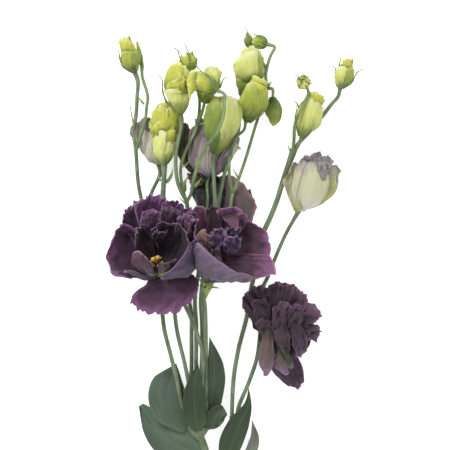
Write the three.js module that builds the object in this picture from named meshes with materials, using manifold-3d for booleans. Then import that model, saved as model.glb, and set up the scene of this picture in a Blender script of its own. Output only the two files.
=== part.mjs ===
// A cut, branching stem of double lisianthus, laid on a flat surface with its flowers facing up.
// Millimetres. +Y runs from the cut end to the top buds, +X to the side, +Z up from the surface.
// The main stem forks at two leaf nodes, and each branch carries open blooms, half-open flowers or buds.
import * as THREE from "three";
import { mergeVertices } from "three/addons/utils/BufferGeometryUtils.js";
import Module from "manifold-3d";

const wasm = await Module();
wasm.setup();

// Driving dimensions
const GAP = 0.3; // left between two pieces that touch
const MAIN_STEM = 6.4; // diameters of the stems, thickest first
const FORK_STEM = 4.6;
const BRANCH = 3.6;
const PEDICEL = 2.8;
const STEM_SIDES = 6;
const STEM_STRETCH = 14; // length of one straight stretch of a stem
const SEPAL_WIDTH = 2.0;
const PETAL_WALL = 1.2;
const LEAF_THICKNESS = 1.2;
const BLOOM_RADIUS = 36;
const BLOOM_DEPTH = 38;
const PETAL_CURL = 1.25; // above 1, petals open faster towards the rim
const PETAL_WAVE = 4; // height of the waves along a bloom's rim
const CALYX_HEIGHT = 6;
const CALYX_RADIUS = 5;
const BLOOM_SEPAL = 17; // lengths of the sepals under an open and a half-open flower
const HALF_OPEN_SEPAL = 12;

const GREENS = { stem: "#66785a", leaf: "#4a6049", bud: "#c3cf4a", calyx: "#7f9a4c" };
const PETALS = { purple: "#4a2a48", violet: "#6d4a78", pale: "#cfcab8" };
const STAMEN_YELLOW = "#d9a520";

const part = new THREE.Group();
const at = (x, y, z) => new THREE.Vector3(x, y, z);

// Adds a piece as a named mesh with its own matt, plant-like material.
function add(name, geometry, color, roughness = 0.6) {
  const mesh = new THREE.Mesh(
    geometry,
    new THREE.MeshStandardMaterial({ color, roughness, metalness: 0, flatShading: true }),
  );
  mesh.name = name;
  part.add(mesh);
}

// Turns a closed geometry into a solid: shared corners merged, collapsed triangles at its poles dropped.
function solid(geometry) {
  geometry.deleteAttribute("normal");
  geometry.deleteAttribute("uv");
  const merged = mergeVertices(geometry, 1e-3);
  const corners = merged.index.array;
  const kept = [];
  for (let i = 0; i < corners.length; i += 3) {
    const [a, b, c] = [corners[i], corners[i + 1], corners[i + 2]];
    if (a !== b && b !== c && c !== a) kept.push(a, b, c);
  }
  return new wasm.Manifold(
    new wasm.Mesh({
      numProp: 3,
      vertProperties: new Float32Array(merged.attributes.position.array),
      triVerts: new Uint32Array(kept),
    }),
  );
}

// Joins shapes that grew as one piece.
function joined(geometries) {
  const whole = geometries.map(solid).reduce((sum, piece) => sum.add(piece));
  const { vertProperties, triVerts } = whole.getMesh();
  const geometry = new THREE.BufferGeometry();
  geometry.setAttribute("position", new THREE.BufferAttribute(vertProperties, 3));
  geometry.setIndex(new THREE.BufferAttribute(triVerts, 1));
  geometry.computeVertexNormals();
  return geometry;
}

// Moves a shape built upwards from the origin so that it starts at base and points along direction.
function aimed(geometry, base, direction) {
  const turn = new THREE.Quaternion().setFromUnitVectors(at(0, 0, 1), direction.clone().normalize());
  return geometry.applyQuaternion(turn).translate(base.x, base.y, base.z);
}

// A round stem through the given places.
function tube(places, diameter) {
  const path = new THREE.CatmullRomCurve3(places, false, "centripetal");
  const ring = [];
  for (let i = 0; i < STEM_SIDES; i += 1) {
    const angle = (i / STEM_SIDES) * 2 * Math.PI;
    ring.push(new THREE.Vector2(Math.cos(angle), Math.sin(angle)).multiplyScalar(diameter / 2));
  }
  return new THREE.ExtrudeGeometry(new THREE.Shape(ring), {
    steps: Math.max(3, Math.round(path.getLength() / STEM_STRETCH)),
    extrudePath: path,
    bevelEnabled: false,
  });
}

// One narrow sepal, rooted at radius from the axis and leaning outwards by flare times its length.
function sepal(angle, radius, foot, length, flare) {
  const spike = new THREE.ConeGeometry(SEPAL_WIDTH / 2, length, 3, 1);
  spike.rotateX(Math.PI / 2).translate(0, 0, length / 2);
  const places = spike.attributes.position;
  for (let i = 0; i < places.count; i += 1) {
    const along = Math.max(0, places.getZ(i) / length);
    places.setX(i, places.getX(i) * 0.6 + flare * length * along);
  }
  return spike.translate(radius, 0, foot).rotateZ(angle);
}

function sepals(count, radius, foot, length, flare) {
  return Array.from({ length: count },
    (_, i) => sepal((i / count) * 2 * Math.PI, radius, foot, length, flare));
}

// A closed bud: petals wrapped in a slow spiral over a small green calyx with narrow sepals.
const BUD_PROFILE = [
  [0, 0],
  [0.22, 0],
  [0.36, 0.1],
  [0.5, 0.34],
  [0.49, 0.6],
  [0.34, 0.82],
  [0.14, 0.96],
  [0, 1],
];
const BUD_FACES = 8;
const SPIRAL = 1.1; // radians that the petals wind over the bud's length

function budBody(length, width) {
  const profile = BUD_PROFILE.map(([radius, height]) => new THREE.Vector2(radius * width, height * length));
  const body = new THREE.LatheGeometry(profile, BUD_FACES);
  const places = body.attributes.position;
  for (let i = 0; i < places.count; i += 1) {
    const p = at(places.getX(i), 0, places.getZ(i));
    const height = places.getY(i);
    const turn = (SPIRAL * height) / length;
    const face = Math.floor(i / profile.length) % BUD_FACES;
    p.applyAxisAngle(at(0, 1, 0), turn).multiplyScalar(face % 2 ? 0.93 : 1.05);
    places.setXYZ(i, p.x, height, p.z);
  }
  return body.rotateX(Math.PI / 2);
}

function bud(name, { base, tip, width, flare = 0.35, reach = 0.7 }) {
  const axis = tip.clone().sub(base);
  const length = axis.length();
  const spikes = sepals(5, width * 0.24, length * 0.02, length * reach, flare);
  add(name, joined([budBody(length, width), ...spikes].map((shape) => aimed(shape, base, axis))),
    GREENS.bud);
}

// A cup of petals joined at the base, with a wavy rim.
const PETALS_PER_WHORL = 5;
const CUP_RINGS = 4;
const CUP_FACES = 15;

function cup({ neck, radius, depth }) {
  const profile = [new THREE.Vector2(0, 0)];
  const shares = [0];
  for (let i = 0; i <= CUP_RINGS; i += 1) {
    const t = i / CUP_RINGS;
    profile.push(new THREE.Vector2(neck + (radius - neck) * t ** PETAL_CURL, depth * t));
    shares.push(t);
  }
  for (let i = CUP_RINGS; i >= 0; i -= 1) {
    const t = i / CUP_RINGS;
    const inside = neck + (radius - neck) * t ** PETAL_CURL - PETAL_WALL;
    profile.push(new THREE.Vector2(inside, depth * t + PETAL_WALL));
    shares.push(t);
  }
  profile.push(new THREE.Vector2(0, PETAL_WALL));
  shares.push(0);
  const shape = new THREE.LatheGeometry(profile, CUP_FACES);
  const places = shape.attributes.position;
  for (let i = 0; i < places.count; i += 1) {
    const t = shares[i % profile.length];
    const angle = (Math.floor(i / profile.length) / CUP_FACES) * 2 * Math.PI;
    const lobe = 1 + 0.07 * t * t * Math.cos(PETALS_PER_WHORL * angle);
    const rise = PETAL_WAVE * t ** 3 * Math.sin(2 * PETALS_PER_WHORL * angle + 1);
    places.setXYZ(i, places.getX(i) * lobe, places.getY(i) + rise, places.getZ(i) * lobe);
  }
  return shape.rotateX(Math.PI / 2);
}

// The green calyx under a flower. Its flat top carries the petals.
function calyx(sepalLength, flare) {
  const profile = [
    new THREE.Vector2(0, 0),
    new THREE.Vector2(CALYX_RADIUS * 0.4, 0),
    new THREE.Vector2(CALYX_RADIUS * 0.85, CALYX_HEIGHT * 0.45),
    new THREE.Vector2(CALYX_RADIUS, CALYX_HEIGHT),
    new THREE.Vector2(0, CALYX_HEIGHT),
  ];
  const body = new THREE.LatheGeometry(profile, 8).rotateX(Math.PI / 2);
  return [body, ...sepals(5, CALYX_RADIUS * 0.5, CALYX_HEIGHT * 0.3, sepalLength, flare)];
}

// An open double bloom: calyx, outer petals and inner petals, nested with a gap.
function bloom(name, { base, axis, radius = BLOOM_RADIUS, depth = BLOOM_DEPTH, press = 1 }) {
  const place = (shape, rise) => {
    const seat = base.clone().addScaledVector(axis.clone().normalize(), rise);
    return pressed(aimed(shape, at(0, 0, 0), axis), press).translate(seat.x, seat.y, seat.z);
  };
  const green = calyx(BLOOM_SEPAL, 1.0);
  add(`${name}_calyx`, joined(green.map((shape) => place(shape, 0))), GREENS.calyx);
  const outer = cup({ neck: CALYX_RADIUS, radius, depth });
  add(`${name}_outer_petals`, joined([place(outer, CALYX_HEIGHT + GAP)]), PETALS.purple);
  const inner = cup({ neck: 3, radius: radius * 0.62, depth: depth * 0.92 });
  add(`${name}_inner_petals`, joined([place(inner, CALYX_HEIGHT + 2 * GAP + PETAL_WALL)]), PETALS.violet);
}

// Flattens a flower that lies on its side under its neighbours' weight.
function pressed(geometry, press) {
  return geometry.scale(1, 1, press);
}

// A half-open flower: wrapped pale petals around a shallow hollow, over a calyx.
const HALF_OPEN_PROFILE = [
  [0, 0],
  [0.3, 0],
  [0.72, 0.22],
  [0.98, 0.52],
  [0.94, 0.82],
  [1.0, 1.0],
  [0.8, 0.96],
  [0.45, 0.8],
  [0, 0.74],
];

function halfOpen(name, { base, tip, width, press = 1 }) {
  const axis = tip.clone().sub(base);
  const length = axis.length() - CALYX_HEIGHT - GAP;
  const profile = HALF_OPEN_PROFILE.map(([r, h]) => new THREE.Vector2((r * width) / 2, h * length));
  const body = new THREE.LatheGeometry(profile, CUP_FACES);
  const places = body.attributes.position;
  for (let i = 0; i < places.count; i += 1) {
    const angle = (Math.floor(i / profile.length) / CUP_FACES) * 2 * Math.PI;
    const share = places.getY(i) / length;
    const lobe = 1 + 0.06 * share * Math.cos(PETALS_PER_WHORL * angle);
    const out = Math.hypot(places.getX(i), places.getZ(i)) / width;
    const rise = 0.1 * length * share ** 4 * out * Math.cos(PETALS_PER_WHORL * angle + 1);
    places.setXYZ(i, places.getX(i) * lobe, places.getY(i) + rise, places.getZ(i) * lobe);
  }
  body.rotateX(Math.PI / 2).translate(0, 0, CALYX_HEIGHT + GAP);
  const place = (shape) => pressed(aimed(shape, at(0, 0, 0), axis), press).translate(base.x, base.y,
    base.z);
  add(`${name}_calyx`, joined(calyx(HALF_OPEN_SEPAL, 1.4).map(place)), GREENS.calyx);
  add(`${name}_petals`, joined([place(body)]), PETALS.pale);
}

// A leaf or a loose petal: a curved plate from base to tip.
// wide(u) gives its half width at share u of its length; rise lifts its middle, cup its edges,
// and bend bows it sideways.
function blade({ base, tip, wide, rise = 0, cup: edges = 0, bend = 0, thickness = LEAF_THICKNESS }) {
  const along = tip.clone().sub(base);
  const across = at(along.y, -along.x, 0).normalize();
  const up = across.clone().cross(along).normalize();
  const plate = new THREE.BoxGeometry(2, 1, 1, 4, 8, 1);
  const places = plate.attributes.position;
  for (let i = 0; i < places.count; i += 1) {
    const [side, u, face] = [places.getX(i), places.getY(i) + 0.5, places.getZ(i)];
    const half = wide(u);
    const arch = Math.sin(Math.PI * u);
    const height = rise * arch + edges * half * side * side + face * thickness;
    const p = base.clone().addScaledVector(along, u);
    p.addScaledVector(across, side * half + bend * arch).addScaledVector(up, height);
    places.setXYZ(i, p.x, p.y, p.z);
  }
  return plate;
}

const leafWidth = (width,
  foot) => (u) => foot * (1 - u) + (width / 2) * Math.sin(Math.PI * u ** 0.85) ** 0.8 + 0.6;

// ---------------------------------------------------------------------------------------------
// Heads. Each bud runs from base to tip.
const buds = {
  bud_top_left: { base: at(-85, 170, 9), tip: at(-94, 196, 8), width: 14 },
  bud_top_left_slim: { base: at(-79, 174, 18), tip: at(-80, 198, 19), width: 4, reach: 0.4, flare: 0.1 },
  bud_large_left: { base: at(-60, 92, 40), tip: at(-60, 143, 43), width: 21, flare: 0.2 },
  bud_upper_left: { base: at(-46, 134, 50), tip: at(-51, 178, 46), width: 18 },
  bud_small_top: { base: at(-36, 172, 37), tip: at(-40, 185, 36), width: 11, reach: 1.4, flare: 0.5 },
  bud_nodding: { base: at(-15, 154, 69), tip: at(-39, 166, 63), width: 16, reach: 0.6 },
  bud_behind_nodding: { base: at(-26, 144, 43), tip: at(-19, 174, 43), width: 11 },
  bud_large_centre: { base: at(-18, 101, 49), tip: at(-12, 150, 52), width: 29, flare: 0.2, reach: 0.6 },
  bud_upper_right: { base: at(6, 150, 22), tip: at(13, 191, 18), width: 18 },
  bud_right_front: { base: at(9, 128, 42), tip: at(17, 165, 42), width: 20 },
  bud_drooping: { base: at(32, 149, 33), tip: at(33, 125, 30), width: 11 },
  bud_tip_pointed: { base: at(12, 192, 7), tip: at(11, 204, 6), width: 5, reach: 0.8, flare: 0.2 },
  bud_tip_round: { base: at(27, 194, 14), tip: at(15, 198, 12), width: 10, reach: 0.9 },
  bud_star: { base: at(58, 161, 22), tip: at(58, 162, 30), width: 8, reach: 0.8, flare: 1.2 },
  bud_right_leaning: { base: at(56, 116, 15), tip: at(66, 153, 15), width: 20 },
  bud_far_right: { base: at(89, 157, 10.5), tip: at(94, 183, 9.5), width: 14 },
};
for (const [name, shape] of Object.entries(buds)) bud(name, shape);

// The three half-open flowers, the two at the back pressed on the surface.
const halfOpenFlowers = {
  pale_flower_right: { base: at(54, 52, 20), tip: at(69, 100, 20), width: 35 },
  pale_flower_left: { base: at(-65, 92, 14), tip: at(-74, 134, 15), width: 34, press: 0.75 },
  pale_flower_centre: { base: at(-23, 81, 30), tip: at(-17, 130, 6), width: 46, press: 0.62 },
};
for (const [name, shape] of Object.entries(halfOpenFlowers)) halfOpen(name, shape);

// The four open blooms.
const blooms = {
  bloom_left: { base: at(-62, -2, 33), axis: at(-0.22, 0.6, 0.77), radius: 34 },
  bloom_right: { base: at(-25, -11, 36), axis: at(0.42, 0.62, 0.66) },
  bloom_rear: { base: at(-6, 18, 17), axis: at(0, 1, 0.02), radius: 26, depth: 48, press: 0.6 },
  bloom_nodding: { base: at(36, -38, 11), axis: at(0.14, -0.2, 0.95), depth: 36 },
};
for (const [name, shape] of Object.entries(blooms)) bloom(name, shape);

// The stamens of the left bloom, with the two-lobed stigma above them, stand in its inner petals.
const leftAxis = blooms.bloom_left.axis.clone().normalize();
const heartSeat = blooms.bloom_left.base.clone();
heartSeat.addScaledVector(leftAxis, CALYX_HEIGHT + 2 * PETAL_WALL + 3 * GAP);
const style = new THREE.CylinderGeometry(1.4, 1.6, 18, 8).rotateX(Math.PI / 2).translate(0, 0, 9);
const stigmas = [-1, 1].map((side) => new THREE.SphereGeometry(2.4, 8, 6).translate(side * 1.8, 0, 18));
const heart = [style, ...stigmas].map((shape) => aimed(shape, heartSeat, leftAxis));
add("bloom_left_stamens", joined(heart), STAMEN_YELLOW);

// Loose lower petals. The left bloom's hangs before the stems, the nodding bloom's droops to the surface.
const petalWidth = (foot, spread) => (u) =>
  foot + spread * Math.sin((Math.PI / 2) * Math.min(1, u * 1.15)) ** 1.3;
const loosePetals = {
  bloom_left_lower_petal: {
    base: at(-62.6, -4.1, 39.0), tip: at(-58, -33, 50), wide: petalWidth(2, 27), rise: 3,
  },
  bloom_nodding_lower_petal: {
    base: at(37.4, -44.1, 13.2), tip: at(49, -99, 0.8), wide: petalWidth(1, 16), rise: 13,
  },
};
for (const [name, shape] of Object.entries(loosePetals)) {
  add(name, blade({ ...shape, thickness: PETAL_WALL }), PETALS.violet);
}

// ---------------------------------------------------------------------------------------------
// Stems. The main stem lies on the surface and forks to the two leaf nodes, where it widens.
const leftNode = at(-31, -131, 8.5);
const rightNode = at(0, -121, 8);

function nodeSwelling(top, halfWidth, halfHeight) {
  const swelling = new THREE.CylinderGeometry(1, 0.35, 9, 12);
  return swelling.scale(halfWidth, 1, halfHeight).translate(top.x, top.y - 4.5, top.z);
}

const mainStem = tube([at(-16, -210, 3.2), at(-19, -176, 3.4), at(-25, -152, 5), at(-30, -137, 8)],
  MAIN_STEM);
const fork = tube([at(-19, -178, 3.5), at(-11, -152, 6), at(-1, -128, 8), at(0, -124, 8)], FORK_STEM);
add(
  "main_stem",
  joined([mainStem, fork, nodeSwelling(leftNode, 10, 6.8), nodeSwelling(rightNode, 5.5, 4.5)]),
  GREENS.stem,
);

// Where a branch leaves a node: straight up from the node's flat top, offset by x and z.
const leaving = (node, x, z) => [0, 5].map((y) => at(node.x + x, node.y + GAP + y, node.z + z));

// The last two places of a stem that carries a head: on the head's axis, just short of its base.
function carrying({ base, tip, axis }) {
  const direction = (axis ?? tip.clone().sub(base)).clone().normalize();
  return [7, GAP].map((back) => base.clone().addScaledVector(direction, -back));
}

const stems = {
  stem_top_left: [
    [BRANCH, [
      ...leaving(leftNode, -7.5, 3), at(-45, -112, 13), at(-49, -92, 15), at(-55, -68, 18),
      at(-60, -48, 20), at(-62, -31, 21), at(-66, 3, 20), at(-73, 32, 20), at(-78, 56, 24),
      at(-82, 76, 28), at(-84, 103, 32), at(-86, 120, 31), at(-84, 133, 28), at(-83, 150, 20),
      ...carrying(buds.bud_top_left)
    ]],
    [PEDICEL, [
      at(-84, 103, 32), at(-79, 119, 34), at(-76, 130, 33), at(-75, 140, 30), at(-74, 150, 24),
      ...carrying(buds.bud_top_left_slim)
    ]],
  ],
  stem_bloom_left: [
    [BRANCH, [
      ...leaving(leftNode, -2.5, 3), at(-38, -100, 15), at(-42, -80, 19), at(-49, -50, 24),
      at(-52, -29, 26), at(-58, -4, 27), ...carrying(blooms.bloom_left)
    ]],
    [BRANCH, [at(-57, -8, 27), at(-60, 28, 30), at(-61, 66, 34), ...carrying(buds.bud_large_left)]],
  ],
  stem_pale_left: [
    [BRANCH, [
      ...leaving(leftNode, 2.5, 3), at(-30, -112, 15), at(-28, -91, 20), at(-27, -69, 21),
      at(-31, -55, 21), at(-37, -39, 20), at(-43, -26, 18), at(-60, 15, 14), at(-70, 45, 13),
      at(-72, 64, 13), ...carrying(halfOpenFlowers.pale_flower_left)
    ]],
  ],
  stem_upper_left: [
    [BRANCH, [
      ...leaving(leftNode, -5, -3), at(-38, -99, 6), at(-37, -80, 7), at(-37, -55, 9),
      at(-37, -35, 11), at(-39, -23, 13), at(-41, 20, 26), at(-41, 60, 40), at(-45, 68, 43),
      at(-49, 79, 47), at(-50, 100, 51), ...carrying(buds.bud_upper_left)
    ]],
    [PEDICEL, [
      at(-41, 60, 40), at(-44, 70, 41), at(-46, 89, 42), at(-42, 103, 42), at(-33, 122, 40),
      at(-30, 144, 38), at(-32, 156, 37), ...carrying(buds.bud_small_top)
    ]],
    [PEDICEL, [at(-32, 126, 40), ...carrying(buds.bud_behind_nodding)]],
    [PEDICEL, [
      at(-41, 60, 40), at(-37, 68, 48), at(-35, 79, 56), at(-31, 92, 64), at(-25, 106, 70),
      at(-17, 116, 74), at(-11, 128, 75), at(-9, 138, 74), at(-9, 146, 72),
      ...carrying(buds.bud_nodding)
    ]],
  ],
  stem_large_centre: [
    [BRANCH, [
      ...leaving(leftNode, 0, -3), at(-33, -91, 7), at(-33, -43, 12), at(-34, -23, 15), at(-31, 0, 20),
      at(-27, 20, 28), at(-21, 40, 40), at(-17, 58, 47), at(-18, 79, 50),
      ...carrying(buds.bud_large_centre)
    ]],
  ],
  stem_upper_right: [
    [BRANCH, [
      ...leaving(leftNode, 5, -3), at(-29, -91, 6), at(-28, -71, 7), at(-28, -43, 9), at(-29, -23, 11),
      at(-26, 3, 18), at(-21, 20, 27), at(-17, 40, 36), at(-14, 58, 40), at(-9, 84, 38),
      at(-3, 102, 36), at(3, 123, 32), at(4, 139, 26), ...carrying(buds.bud_upper_right)
    ]],
    [PEDICEL, [
      at(-25, 8, 20), at(-25, 30, 24), at(-24, 50, 33), at(-23, 64, 36),
      ...carrying(halfOpenFlowers.pale_flower_centre)
    ]],
    [PEDICEL, [at(-28, -8, 15), at(-18, 2, 16), ...carrying(blooms.bloom_rear)]],
    [PEDICEL, [
      at(-27, -2, 17), at(-13, 20, 27), at(-5, 50, 40), at(-2, 68, 42), at(3, 80, 40), at(9, 97, 36),
      at(19, 130, 30), at(23, 140, 29), at(27, 156, 27), at(26, 168, 22), at(30, 184, 16),
      ...carrying(buds.bud_tip_round)
    ]],
    [PEDICEL, [
      at(-2, 68, 42), at(-5, 84, 46), at(-4, 100, 46), at(2, 116, 44),
      ...carrying(buds.bud_right_front)
    ]],
    [PEDICEL, [at(27, 156, 27), ...carrying(buds.bud_drooping)]],
    [PEDICEL, [at(26, 168, 22), at(25, 176, 11), at(18, 184, 7), ...carrying(buds.bud_tip_pointed)]],
  ],
  stem_bloom_right: [
    [BRANCH + 0.4, [
      ...leaving(leftNode, 7.5, 3), at(-25, -110, 13), at(-25, -74, 17), at(-25, -45, 22),
      at(-26, -25, 27), ...carrying(blooms.bloom_right)
    ]],
  ],
  stem_right: [
    [BRANCH, [
      ...leaving(rightNode, -2.6, 0), at(-1, -88, 7), at(3, -64, 5), at(10, -37, 3), at(14, -12, 3),
      at(20, 13, 6), at(24, 34, 10), at(29, 45, 12), at(35, 60, 12), at(41, 79, 9), at(50, 105, 11),
      at(65, 122, 4), at(74, 133, 3), at(81, 144, 5), ...carrying(buds.bud_far_right)
    ]],
    [PEDICEL, [
      at(49, 102, 11), at(50, 114, 20), at(51, 127, 28), at(58, 143, 30), at(62, 152, 25),
      at(61, 157, 17), ...carrying(buds.bud_star)
    ]],
    [PEDICEL, [at(48, 99, 11), ...carrying(buds.bud_right_leaning)]],
  ],
  stem_pale_right: [
    [BRANCH, [
      ...leaving(rightNode, 2.6, 0), at(12, -92, 6), at(19, -70, 3), at(22, -40, 2.5), at(24, -12, 4),
      at(28, -3, 5), at(33, 10, 6), at(46, 38, 14), ...carrying(halfOpenFlowers.pale_flower_right)
    ]],
    [PEDICEL, [at(24, -20, 3.5), at(28, -30, 3), ...carrying(blooms.bloom_nodding)]],
  ],
};
for (const [name, limbs] of Object.entries(stems)) {
  add(name, joined(limbs.map(([diameter, places]) => tube(places, diameter))), GREENS.stem);
}

// ---------------------------------------------------------------------------------------------
// Leaves, five clasping the left node and two the right one.
const leaves = {
  leaf_round_left: {
    base: at(-44.3, -133.6, 8), tip: at(-50, -77, 5), wide: leafWidth(25, 2), bend: -9, cup: 0.04,
  },
  leaf_low_left: {
    base: at(-29.6, -152, 5), tip: at(-81, -118, 1.5), wide: leafWidth(25, 1), bend: -5, cup: 0.04,
  },
  leaf_centre: {
    base: at(-31, -133, 16.2), tip: at(-33, -77, 27), wide: leafWidth(18, 2), bend: -2, cup: 0.15,
  },
  leaf_right: {
    base: at(-19.2, -132.5, 9), tip: at(-17.5, -55, 20), wide: leafWidth(14, 1), bend: 7, cup: 0.1,
  },
  leaf_curled: { base: at(-23, -133, 14.5), tip: at(-7, -116, 19), wide: leafWidth(11, 2), cup: 0.3 },
  leaf_upper_right: {
    base: at(-5.5, -140, 10.2), tip: at(13, -108, 19), wide: leafWidth(17, 2), bend: 3, cup: 0.1,
  },
  leaf_low_right: {
    base: at(-6.2, -155.5, 5.5), tip: at(15, -127, 2), wide: leafWidth(14, 1), bend: 2, cup: 0.05,
  },
};
for (const [name, shape] of Object.entries(leaves)) add(name, blade(shape), GREENS.leaf);

// The origin is at the centre of the underside of the whole stem.
const box = new THREE.Box3().setFromObject(part);
const middle = box.getCenter(at(0, 0, 0));
part.position.set(-middle.x, -middle.y, -box.min.z);

export default part;
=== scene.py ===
import math

import bpy
import numpy as np
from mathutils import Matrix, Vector


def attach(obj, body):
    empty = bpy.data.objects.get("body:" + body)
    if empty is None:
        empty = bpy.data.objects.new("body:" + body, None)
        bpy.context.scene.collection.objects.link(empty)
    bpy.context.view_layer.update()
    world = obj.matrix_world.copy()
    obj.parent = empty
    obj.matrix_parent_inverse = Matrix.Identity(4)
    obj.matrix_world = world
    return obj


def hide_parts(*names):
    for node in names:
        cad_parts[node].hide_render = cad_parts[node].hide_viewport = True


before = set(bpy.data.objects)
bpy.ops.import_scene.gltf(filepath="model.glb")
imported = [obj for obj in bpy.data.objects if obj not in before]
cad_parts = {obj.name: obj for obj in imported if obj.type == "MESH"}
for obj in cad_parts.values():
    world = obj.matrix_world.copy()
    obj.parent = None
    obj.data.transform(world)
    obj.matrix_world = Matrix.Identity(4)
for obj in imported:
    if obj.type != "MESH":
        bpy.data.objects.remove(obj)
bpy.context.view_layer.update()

# ----------------------------------------
# Camera and light. The stem lies on a pale table, and the camera looks straight down on it from far
# above, so that heights hardly shift it. Wide soft lamps stand round it, the strongest at upper left.
# The view's width, its centre on the table and the camera's height over it, in metres.
VIEW_WIDTH = 0.3825
VIEW_CENTRE = (-0.0061, 0.0439)
CAMERA_HEIGHT = 8.0
camera_data = bpy.data.cameras.new("camera")
camera_data.sensor_width = 36
camera_data.lens = camera_data.sensor_width * CAMERA_HEIGHT / VIEW_WIDTH
camera_data.clip_start, camera_data.clip_end = 0.5, 100
camera = bpy.data.objects.new("camera", camera_data)
camera.location = (*VIEW_CENTRE, CAMERA_HEIGHT)
bpy.context.collection.objects.link(camera)
bpy.context.scene.camera = camera
bpy.context.scene.view_settings.view_transform = "Standard"


def lamp(name, place, width, power):
    """A square soft lamp that shines at the middle of the view."""
    data = bpy.data.lights.new(name, "AREA")
    data.size, data.energy = width, power
    made = bpy.data.objects.new(name, data)
    made.location = place
    made.rotation_mode = "QUATERNION"
    aim = np.array((*VIEW_CENTRE, 0)) - np.array(place)
    made.rotation_quaternion = Vector(aim).to_track_quat("-Z", "Y")
    bpy.context.collection.objects.link(made)


lamp("key_lamp", (-0.9, 1.1, 1.5), 0.7, 24)
lamp("fill_lamp", (1.2, 0.2, 1.6), 1.2, 7)
lamp("front_lamp", (-0.2, -1.3, 1.2), 1.0, 5)

world = bpy.data.worlds.new("studio")
bpy.context.scene.world = world
world.use_nodes = True
world.node_tree.nodes["Background"].inputs["Color"].default_value = (1, 1, 1, 1)
world.node_tree.nodes["Background"].inputs["Strength"].default_value = 0.55


# ----------------------------------------
# The table. A matt white sheet of coated paper, far wider than the stem. It glows a little, so that
# it reads as bare white and the shadows on it stay soft.
SHEET_HALF = 3.0
FLECKS_ACROSS = 900.0


def colour(code):
    """An sRGB hex colour as linear red, green, blue and alpha."""
    shares = [int(code[i : i + 2], 16) / 255 for i in (1, 3, 5)]
    return (*[s / 12.92 if s <= 0.04045 else ((s + 0.055) / 1.055) ** 2.4 for s in shares], 1)


def material(name):
    made = bpy.data.materials.new(name)
    made.use_nodes = True
    made.node_tree.nodes.clear()
    return made, made.node_tree


def add(tree, kind, sockets, **settings):
    """Adds a node. A socket is given a number, a colour's hex code, a node or one of its outputs."""
    made = tree.nodes.new("ShaderNode" + kind)
    for name, value in settings.items():
        setattr(made, name, value)
    for name, value in sockets.items():
        if isinstance(value, bpy.types.Node):
            value = next(output for output in value.outputs if output.enabled)
        if isinstance(value, bpy.types.NodeSocket):
            tree.links.new(value, made.inputs[name])
        else:
            made.inputs[name].default_value = colour(value) if isinstance(value, str) else value
    return made


# Coated paper: an even white, in which the fibres show only as a trace of flecks about 7 mm wide.
paper, tree = material("white_coated_paper")
grain = add(tree, "TexNoise", {"Scale": FLECKS_ACROSS, "Detail": 3.0})
fleck = add(tree, "Mix", {0: grain, 6: "#fbfbfb", 7: "#ffffff"}, data_type="RGBA")
glow = {"Emission Color": (1, 1, 1, 1), "Emission Strength": 0.62}
shader = add(tree, "BsdfPrincipled", {"Base Color": fleck, "Roughness": 0.8, **glow})
add(tree, "OutputMaterial", {"Surface": shader})
corners = [(x * SHEET_HALF, y * SHEET_HALF, 0) for x, y in ((-1, -1), (1, -1), (1, 1), (-1, 1))]
sheet_mesh = bpy.data.meshes.new("table_paper")
sheet_mesh.from_pydata(corners, [], [(0, 1, 2, 3)])
sheet_mesh.materials.append(paper)
table_paper = bpy.data.objects.new("table_paper", sheet_mesh)
bpy.context.collection.objects.link(table_paper)


# ----------------------------------------
# Stems. A thick main stem lies on the table and forks at two leaf nodes into nine branches and
# their flower stalks: round, smooth and green, with a thin grey-blue wax bloom and faint ribs.
MM = 0.001
MAIN_STEM, FORK_STEM, BRANCH, PEDICEL = 6.4 * MM, 4.6 * MM, 3.6 * MM, 2.8 * MM
# Where the layout's own zero lies in the frame, in millimetres.
LAYOUT_ZERO = (2.44, 3.13, 0.01)
# A piece's number sets its random draws, and moves its grain by this much.
GRAIN_STEP = 0.37


def at(x, y, z):
    """A place in the stem's own layout, in millimetres, as metres in the frame."""
    return np.add((x, y, z), LAYOUT_ZERO) / 1000


def unit(vector):
    return np.asarray(vector, float) / max(np.linalg.norm(vector), 1e-12)


def smooth(share):
    """Eases a share in and out of 0 and 1."""
    share = np.clip(share, 0, 1)
    return share * share * (3 - 2 * share)


def bend(share, start, leave, end, arrive):
    """Places on a smooth bend from start to end, given its slopes there."""
    return (
        (2 * share**3 - 3 * share**2 + 1) * start + (share**3 - 2 * share**2 + share) * leave
        + (3 * share**2 - 2 * share**3) * end + (share**3 - share**2) * arrive
    )


def through(places, step=0.002):
    """Even steps along a smooth curve through the given places."""
    p = np.array(places, float)
    lead = np.sqrt(np.linalg.norm(np.diff(p, axis=0), axis=1))[:, None] + 1e-9
    slope = np.diff(p, axis=0) / lead
    inner = (lead[1:] * slope[:-1] + lead[:-1] * slope[1:]) / (lead[:-1] + lead[1:])
    tangent = np.vstack([slope[:1], inner, slope[-1:]])
    fine = []
    for i in range(len(lead)):
        share = np.linspace(0, 1, 24, endpoint=i == len(lead) - 1)[:, None]
        fine.append(bend(share, p[i], lead[i] * tangent[i], p[i + 1], lead[i] * tangent[i + 1]))
    fine = np.vstack(fine)
    run = np.concatenate([[0], np.cumsum(np.linalg.norm(np.diff(fine, axis=0), axis=1))])
    even = np.linspace(0, run[-1], max(4, int(round(run[-1] / step)) + 1))
    return np.column_stack([np.interp(even, run, fine[:, k]) for k in range(p.shape[1])])


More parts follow.
